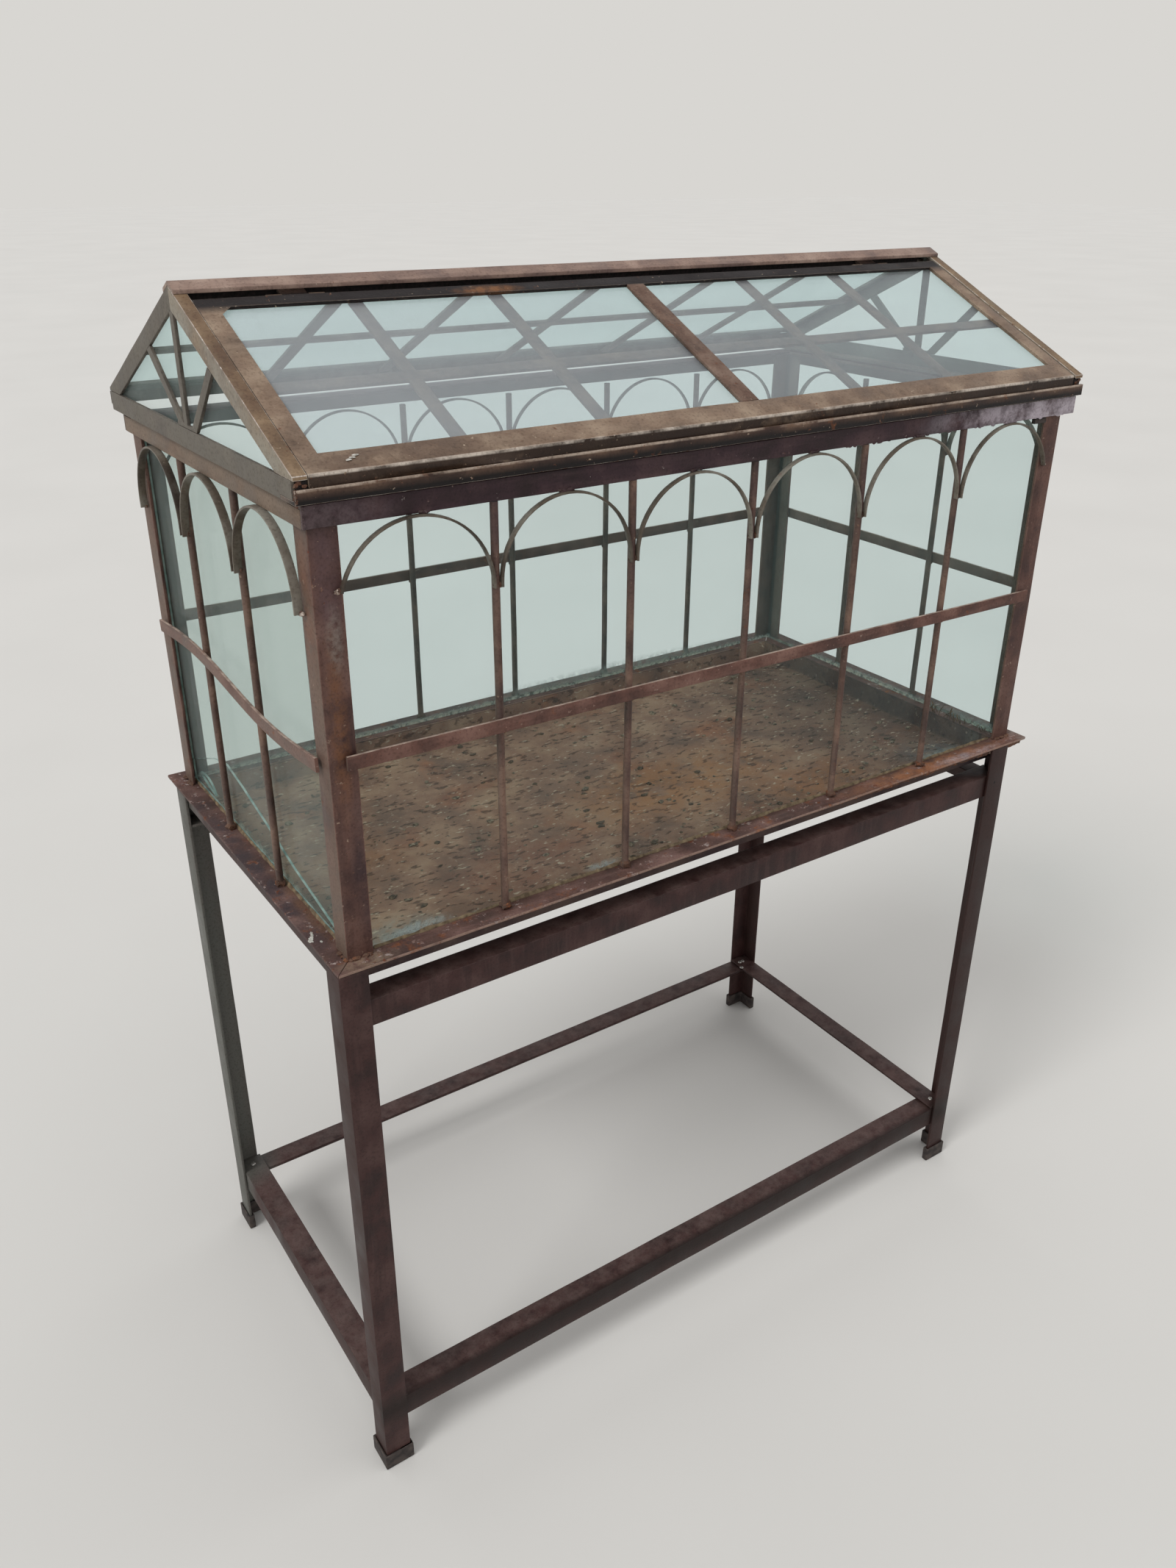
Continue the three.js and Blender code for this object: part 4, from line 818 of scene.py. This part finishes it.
# Rough weld metal at the posts' feet: each post's corner, and which way its two flanges run from there.
footWelds = {
    "posts": [(nearFace, nearFace, 1, 1), (rightFace, nearFace, -1, 1), (rightFace, backFace, -1, -1),
              (nearFace, backFace, 1, -1)],
    "perPost": 16, "reach": 24, "proud": 0.4, "foot": 644.0, "smallest": 1.2, "spread": 1.6,
}
mesh = bmesh.new()
for index, (x, y, inX, inY) in enumerate(footWelds["posts"]):
    for k in range(footWelds["perPost"]):
        reach = chance.random() * footWelds["reach"]
        alongX, alongY = (reach, -footWelds["proud"]) if k % 2 == 0 else (-footWelds["proud"], reach)
        size = footWelds["smallest"] + footWelds["spread"] * chance.random()
        place = at(x + inX * alongX, y + inY * alongY, footWelds["foot"])
        lump(mesh, place, (size * 1.5, size * 1.5, size * 0.8), 0.7, index + k * 1.3, 0, 1)
finishPiece("post_foot_welds", mesh, [painted["weld"]], "case_on_stand")

# Chips down to white undercoat on the left flange.
chipLook = {"places": [(6.4, 72.4), (5.2, 69.0), (3.2, 66.8), (2.0, 64.2), (7.5, 75.5), (9.5, 58.0)],
            "top": 643.25, "thick": 0.3, "smallest": 1.1, "spread": 0.9}
mesh = bmesh.new()
for index, (x, y) in enumerate(chipLook["places"]):
    size = chipLook["smallest"] + chipLook["spread"] * chance.random()
    lump(mesh, at(x, y, chipLook["top"]), (size, size * 1.5, chipLook["thick"]), 0.8, index * 2.1)
finishPiece("flange_chips", mesh, [paleChip], "case_on_stand")

# Weld metal of the front top rail: drops at each arch's crown, small ones along its right half, and a
# bead up its left corner.
dripLook = {
    "face": 12.9, "crownFoot": 1024.2, "perCrown": 3, "crownSpread": 12, "edgeFoot": 1024.6, "edgeDrops": 26,
    "edgeFrom": 560, "edgeRun": 330, "corner": 13.7, "cornerFoot": 1025.4, "cornerBeads": 10, "beadStep": 1.7,
}
mesh = bmesh.new()
postEdge = latticeLook["postEdge"]
edges = [postEdge] + caseLook["frontRods"] + [caseLook["length"] - postEdge]
for index, crown in enumerate((a + b) / 2 for a, b in zip(edges, edges[1:])):
    for k in range(dripLook["perCrown"]):
        size = 1.5 + 1.3 * chance.random()
        x = crown + dripLook["crownSpread"] * (chance.random() - 0.5)
        place = at(x, dripLook["face"], dripLook["crownFoot"] + 1.2 * chance.random())
        lump(mesh, place, (size * 1.6, size * 0.6, size * 0.7), 0.8, index + k * 0.9)
for k in range(dripLook["edgeDrops"]):
    x = dripLook["edgeFrom"] + dripLook["edgeRun"] * chance.random()
    size = 0.8 + 1.0 * chance.random()
    place = at(x, dripLook["face"], dripLook["edgeFoot"])
    lump(mesh, place, (size * 2.2, size * 0.5, size * 0.8), 0.9, k * 1.7, 0, 1)


# A bead of weld up a corner: lumps that wander and swell a little as they climb.
def cornerBead(mesh, count, corner, foot, climb, wander, sizes, tall, seed):
    for step in range(count):
        off = stray(step * wander[0], wander[1], wander[2])
        size = sizes[0] + sizes[1] * abs(off)
        place = at(corner[0] + off, corner[1] - off, foot + climb * step)
        lump(mesh, place, (size, size, size * tall), 0.7, step + seed)


cornerBead(mesh, dripLook["cornerBeads"], (dripLook["corner"], dripLook["corner"]), dripLook["cornerFoot"],
           dripLook["beadStep"], (2.3, 0.7, 0.4), (0.9, 0.8), 1.3, 0.2)
finishPiece("top_rail_drips", mesh, [painted["topRail"]], "case_on_stand")

# A short square peg at the top of the front right post.
pegLook = {"places": [(840, 1020.6), (849, 1020.4), (857.6, 1020.5)], "inset": 17,
           "outline": (5.4, 4.6, 0.8), "knob": (856.4, 1020.4), "knobSize": (2.2, 3.2, 3.6)}
mesh = bmesh.new()
sweep(mesh, [at(x, pegLook["inset"], z) for x, z in pegLook["places"]], upwards,
      roundedOutline(*pegLook["outline"], 2))
lump(mesh, at(pegLook["knob"][0], pegLook["inset"], pegLook["knob"][1]), pegLook["knobSize"], 0.6, 4.4)
finishPiece("post_peg", mesh, [rubber], "case_on_stand")

# A curved sliver of broken pane that leans inside the left pane, towards the back.
sliver = {"from": 386.0, "to": 441.0, "foot": 643.6, "lift": 7, "least": 0.6, "rise": 13.0,
          "inside": 27.2, "lean": 1.6, "thick": 2.4, "steps": 18}
mesh = bmesh.new()
rings = []
for step in range(sliver["steps"] + 1):
    share = step / sliver["steps"]
    y = sliver["from"] + (sliver["to"] - sliver["from"]) * share
    low = sliver["foot"] + sliver["lift"] * share ** 2
    high = low + sliver["least"] + sliver["rise"] * math.sin(math.pi * share) ** 0.7 * (1 - 0.5 * share)
    x = sliver["inside"] + sliver["lean"] * share
    rings.append([mesh.verts.new(at(x + out, y, z)) for out, z in (
        (0, low), (sliver["thick"], low), (sliver["thick"], high), (0, high))])
skin(mesh, rings, (1, 0))
bmesh.ops.recalc_face_normals(mesh, faces=mesh.faces[:])
finishPiece("broken_sliver", mesh, [paneGlass, glassEdge], "case_on_stand")

# Dried stems and roots lie in the front right corner of the case, against the right pane.
stems = {"count": 26, "steps": 5, "from": (858, 34), "spread": (11, 86), "foot": 643.6, "lowest": 643.7,
         "nearest": 845.0, "farthest": 871.6, "shortest": 7, "growth": 17, "droop": 0.4,
         "outline": (1.0, 0.9, 0.3)}
mesh = bmesh.new()
for index in range(stems["count"]):
    share = chance.random()
    x = stems["from"][0] + stems["spread"][0] * chance.random()
    y = stems["from"][1] + stems["spread"][1] * share
    heading = Vector((chance.random() - 0.75, chance.random() - 0.5, 0.35 + 0.9 * chance.random()))
    heading.normalize()
    length = stems["shortest"] + stems["growth"] * share * chance.random()
    bend = Vector((chance.random() - 0.5, chance.random() - 0.5, -0.2)) * length * stems["droop"]
    path = []
    for step in range(stems["steps"] + 1):
        t = step / stems["steps"]
        spot = Vector((x, y, stems["foot"])) + heading * length * t + bend * t * t
        inside = min(max(spot.x, stems["nearest"]), stems["farthest"])
        path.append(at(inside, spot.y, max(spot.z, stems["lowest"])))
    sweep(mesh, path, upwards + Vector((0.3, 0.2, 0)), roundedOutline(*stems["outline"], 1))
finishPiece("dried_stems", mesh, [dryStem], "case_on_stand")
print("panes ready")

roofLooks = {
    "bar": {"round": 0.9, "waver": 0.35, "slice": 40},
    "tracery": {"round": 0.6, "waver": 0.3, "slice": 20},
    "ridge": {"round": 0.4, "waver": 0.35, "slice": 60},
    "backStrips": {"round": 0.5, "waver": 0.3, "slice": 40},
    "sash": {"round": 0.7, "waver": 0.3, "slice": 40},
    "mullion": {"round": 0.6, "waver": 0.4, "slice": 16},
    "muntins": {"round": 0.5, "waver": 0.3, "slice": 30},
}


def roofBar(node, paintNames, body, look):
    agedBar(node, [painted[paint] for paint in paintNames], body, roofLooks[look])


roofBar("eave_rail_front", ["eave", "rubbedEdgeAndHighlight"], "roof", "bar")
roofBar("back_rail", ["grey"], "roof", "bar")
roofBar("ridge_bar", ["grey"], "roof", "bar")
roofBar("ridge_cap", ["roof"], "roof", "ridge")
for side in ("left", "right"):
    roofBar("eave_rail_" + side, ["grey"], "roof", "bar")
    roofBar("rafter_front_" + side, ["rafter", "rubbedEdgeAndHighlight"], "roof", "bar")
    roofBar("rafter_back_" + side, ["grey"], "roof", "bar")
    roofBar("gable_tracery_" + side, ["grey"], "roof", "tracery")
    glaze("gable_glass_" + side, paneGlass)
roofBar("lattice_back_slope", ["grey"], "roof", "backStrips")
roofBar("sash_frame", ["sash", "rubbedEdgeAndHighlight"], "sash", "sash")
roofBar("sash_mullion", ["mullion"], "sash", "mullion")
for side in ("left", "right"):
    roofBar("sash_muntins_" + side, ["lattice"], "sash", "muntins")
    glaze("sash_glass_" + side, sashGlass)
glaze("glass_back_slope", roofGlass)

# Pegs that hang in the slot under the back rail, each a short pin over a flat foot.
slotPegs = {"x": [397, 501, 838], "y": 475.2, "middle": 1046.2, "size": (1.5, 1.6, 3.4),
            "foot": 1043.9, "footSize": (4.4, 1.5, 1.2)}
mesh = bmesh.new()
for x in slotPegs["x"]:
    lump(mesh, at(x, slotPegs["y"], slotPegs["middle"]), slotPegs["size"], 0.3, x)
    lump(mesh, at(x, slotPegs["y"], slotPegs["foot"]), slotPegs["footSize"], 0.5, x + 2)
finishPiece("back_slot_pegs", mesh, [painted["grey"]], "roof")

# Shade that closes the view into the eave's open ends, behind the sash's foot and under the ridge cap:
# where each bar starts and ends along x, its y and z, its width, depth and rounding, and the steps of
# each rounded corner.
shadeBars = [
    ((10.6, 18.9), (15.6, 1053.4), (14.4, 7.6, 1.4), 2),
    ((890.1, 898.4), (15.6, 1053.4), (14.4, 7.6, 1.4), 2),
    ((20.0, 889.0), (14.2, 1054.6), (5.0, 0.8, 0.2), 1),
    ((20.0, 879.0), (241.6, 1163.2), (12.0, 1.4, 0.3), 1),
]
mesh = bmesh.new()
for (left, right), place, outline, steps in shadeBars:
    path = [at(x, *place) for x in (left, (left + right) / 2, right)]
    sweep(mesh, path, upwards, roundedOutline(*outline, steps))
finishPiece("eave_corner_shade", mesh, [darkHole], "roof")

# Rusty weld metal at the eave's ends, and a bead up its front left corner.
eaveWeld = {
    "lumps": [(9.5, 10.8, 1057.6), (12.5, 11.6, 1059.4), (16.2, 11.2, 1056.8), (10.8, 11.4, 1047.4),
              (14.4, 11.0, 1045.6), (897.6, 11.4, 1058.4), (893.4, 11.6, 1056.6), (899.0, 11.8, 1060.0)],
    "lumpSize": (2.0, 1.3, 1.7),
    "endLumps": [(898.6, 9.8, 1050), (898.8, 12, 1047), (898.4, 9.8, 1045.4)], "endSize": (2.0, 1.5, 1.9),
    "beads": 9, "corner": (8.2, 9.0), "foot": 1043.4, "beadStep": 1.35,
}
mesh = bmesh.new()
for index, place in enumerate(eaveWeld["lumps"]):
    lump(mesh, at(*place), eaveWeld["lumpSize"], 0.8, index * 1.9)
for index, place in enumerate(eaveWeld["endLumps"]):
    lump(mesh, at(*place), eaveWeld["endSize"], 0.7, index + 0.4)
cornerBead(mesh, eaveWeld["beads"], eaveWeld["corner"], eaveWeld["foot"], eaveWeld["beadStep"],
           (1.7, 0.3, 0.9), (1.1, 0.9), 1.2, 0.6)
finishPiece("eave_end_weld", mesh, [painted["weld"]], "roof")

# A bolt head in the middle of the sash's front edge, and a pale smear at its left end.
sashMarks = {
    "bolt": (452, 10.9, 1058.6), "boltFacing": (0, -0.95, -0.3), "boltRadius": 2.2, "boltHeight": 0.9,
    "smear": [(56, 20.2, 1069.5), (60, 22.2, 1070.4), (63.5, 24.6, 1071.5)], "smearSize": (2.6, 1.7, 0.7),
}
mesh = bmesh.new()
disc(mesh, at(*sashMarks["bolt"]), Vector(sashMarks["boltFacing"]).normalized(),
     sashMarks["boltRadius"], sashMarks["boltHeight"])
finishPiece("sash_bolt", mesh, [painted["sash"]], "sash")
mesh = bmesh.new()
for index, place in enumerate(sashMarks["smear"]):
    lump(mesh, at(*place), sashMarks["smearSize"], 0.5, index + 0.8)
finishPiece("sash_smear", mesh, [paleChip], "sash")
print("roof and sash ready")

studioLook = {
    "floorDeep": "#cfcdc9", "floorPale": "#d3d1cd", "floorPatchMm": 833.333,
    "floorReach": 40.0, "floorDrop": 0.5,
    "backdrop": "#d8d6d2", "roomLight": "#f4f4f4", "roomStrength": 0.72,
    # name: strength, angle of the soft edge in degrees, direction that it comes from
    "lamps": {"window": (1.35, 22, (-1.0, -0.2, 1.1)), "ceiling": (0.35, 60, (0.5, -0.7, 2.0))},
}


# Pale studio floor. It gives the eye an even light grey ground that takes a soft shadow.
def studioFloor(look):
    material, tree, place = newMaterial("mattePlaster_studioFloor")
    tones = mottle(tree, place["Object"], look["floorPatchMm"], 3.0, [
        (0.3, look["floorDeep"]), (0.7, look["floorPale"])])[1]
    surface = addNode(tree, "BsdfPrincipled", {"Base Color": tones, "Roughness": 0.9})
    addNode(tree, "OutputMaterial", {"Surface": surface.outputs[0]})
    return material


mesh = bmesh.new()
reach = studioLook["floorReach"]
mesh.faces.new([mesh.verts.new((x * reach, y * reach, -mm(studioLook["floorDrop"]))) for x, y in (
    (-1, -1), (1, -1), (1, 1), (-1, 1))])
data = bpy.data.meshes.new("studio_floor")
mesh.to_mesh(data)
mesh.free()
data.materials.append(studioFloor(studioLook))
floor = bpy.data.objects.new("studio_floor", data)
scene.collection.objects.link(floor)

for name, (strength, angle, source) in studioLook["lamps"].items():
    lamp = bpy.data.lights.new(name, "SUN")
    lamp.energy = strength
    lamp.angle = math.radians(angle)
    holder = bpy.data.objects.new(name, lamp)
    holder.rotation_euler = (-Vector(source)).to_track_quat("-Z", "Y").to_euler()
    scene.collection.objects.link(holder)

world = bpy.data.worlds.new("paleRoom")
scene.world = world
world.use_nodes = True
room = world.node_tree
room.nodes.clear()
rays = addNode(room, "LightPath", {})
soft = addNode(room, "Background", {"Color": studioLook["roomLight"], "Strength": studioLook["roomStrength"]})
seen = addNode(room, "Background", {"Color": studioLook["backdrop"], "Strength": 1.0})
anySeen = addNode(room, "Math", {
    "operation": "MAXIMUM", 0: rays.outputs["Is Camera Ray"], 1: rays.outputs["Is Transmission Ray"]})
backdrop = addNode(room, "MixShader", {0: anySeen.outputs[0], 1: soft.outputs[0], 2: seen.outputs[0]})
addNode(room, "OutputWorld", {"Surface": backdrop.outputs[0]})
scene.view_settings.view_transform = "Standard"

# The camera stands in front of the left corner and looks down on the case, as in the photograph.
cameraLook = {"place": (-318.9, -847.4, 1266.9), "azimuth": -34.18, "elevation": 26.5, "roll": 0.3,
              "lens": 38.25, "sensor": 36.0}
azimuth = math.radians(cameraLook["azimuth"])
elevation = math.radians(cameraLook["elevation"])
roll = math.radians(cameraLook["roll"])
backward = Vector((math.sin(azimuth) * math.cos(elevation), -math.cos(azimuth) * math.cos(elevation),
                   math.sin(elevation)))
rightward = upwards.cross(backward).normalized()
topward = backward.cross(rightward)
axes = (rightward * math.cos(roll) + topward * math.sin(roll),
        topward * math.cos(roll) - rightward * math.sin(roll), backward)
cameraData = bpy.data.cameras.new("viewer")
cameraData.sensor_fit = "HORIZONTAL"
cameraData.sensor_width = cameraLook["sensor"]
cameraData.lens = cameraLook["lens"]
cameraData.clip_start = 0.05
camera = bpy.data.objects.new("viewer", cameraData)
camera.matrix_world = Matrix.Translation(at(*cameraLook["place"])) @ Matrix(axes).transposed().to_4x4()
scene.collection.objects.link(camera)
scene.camera = camera

print("scene ready")
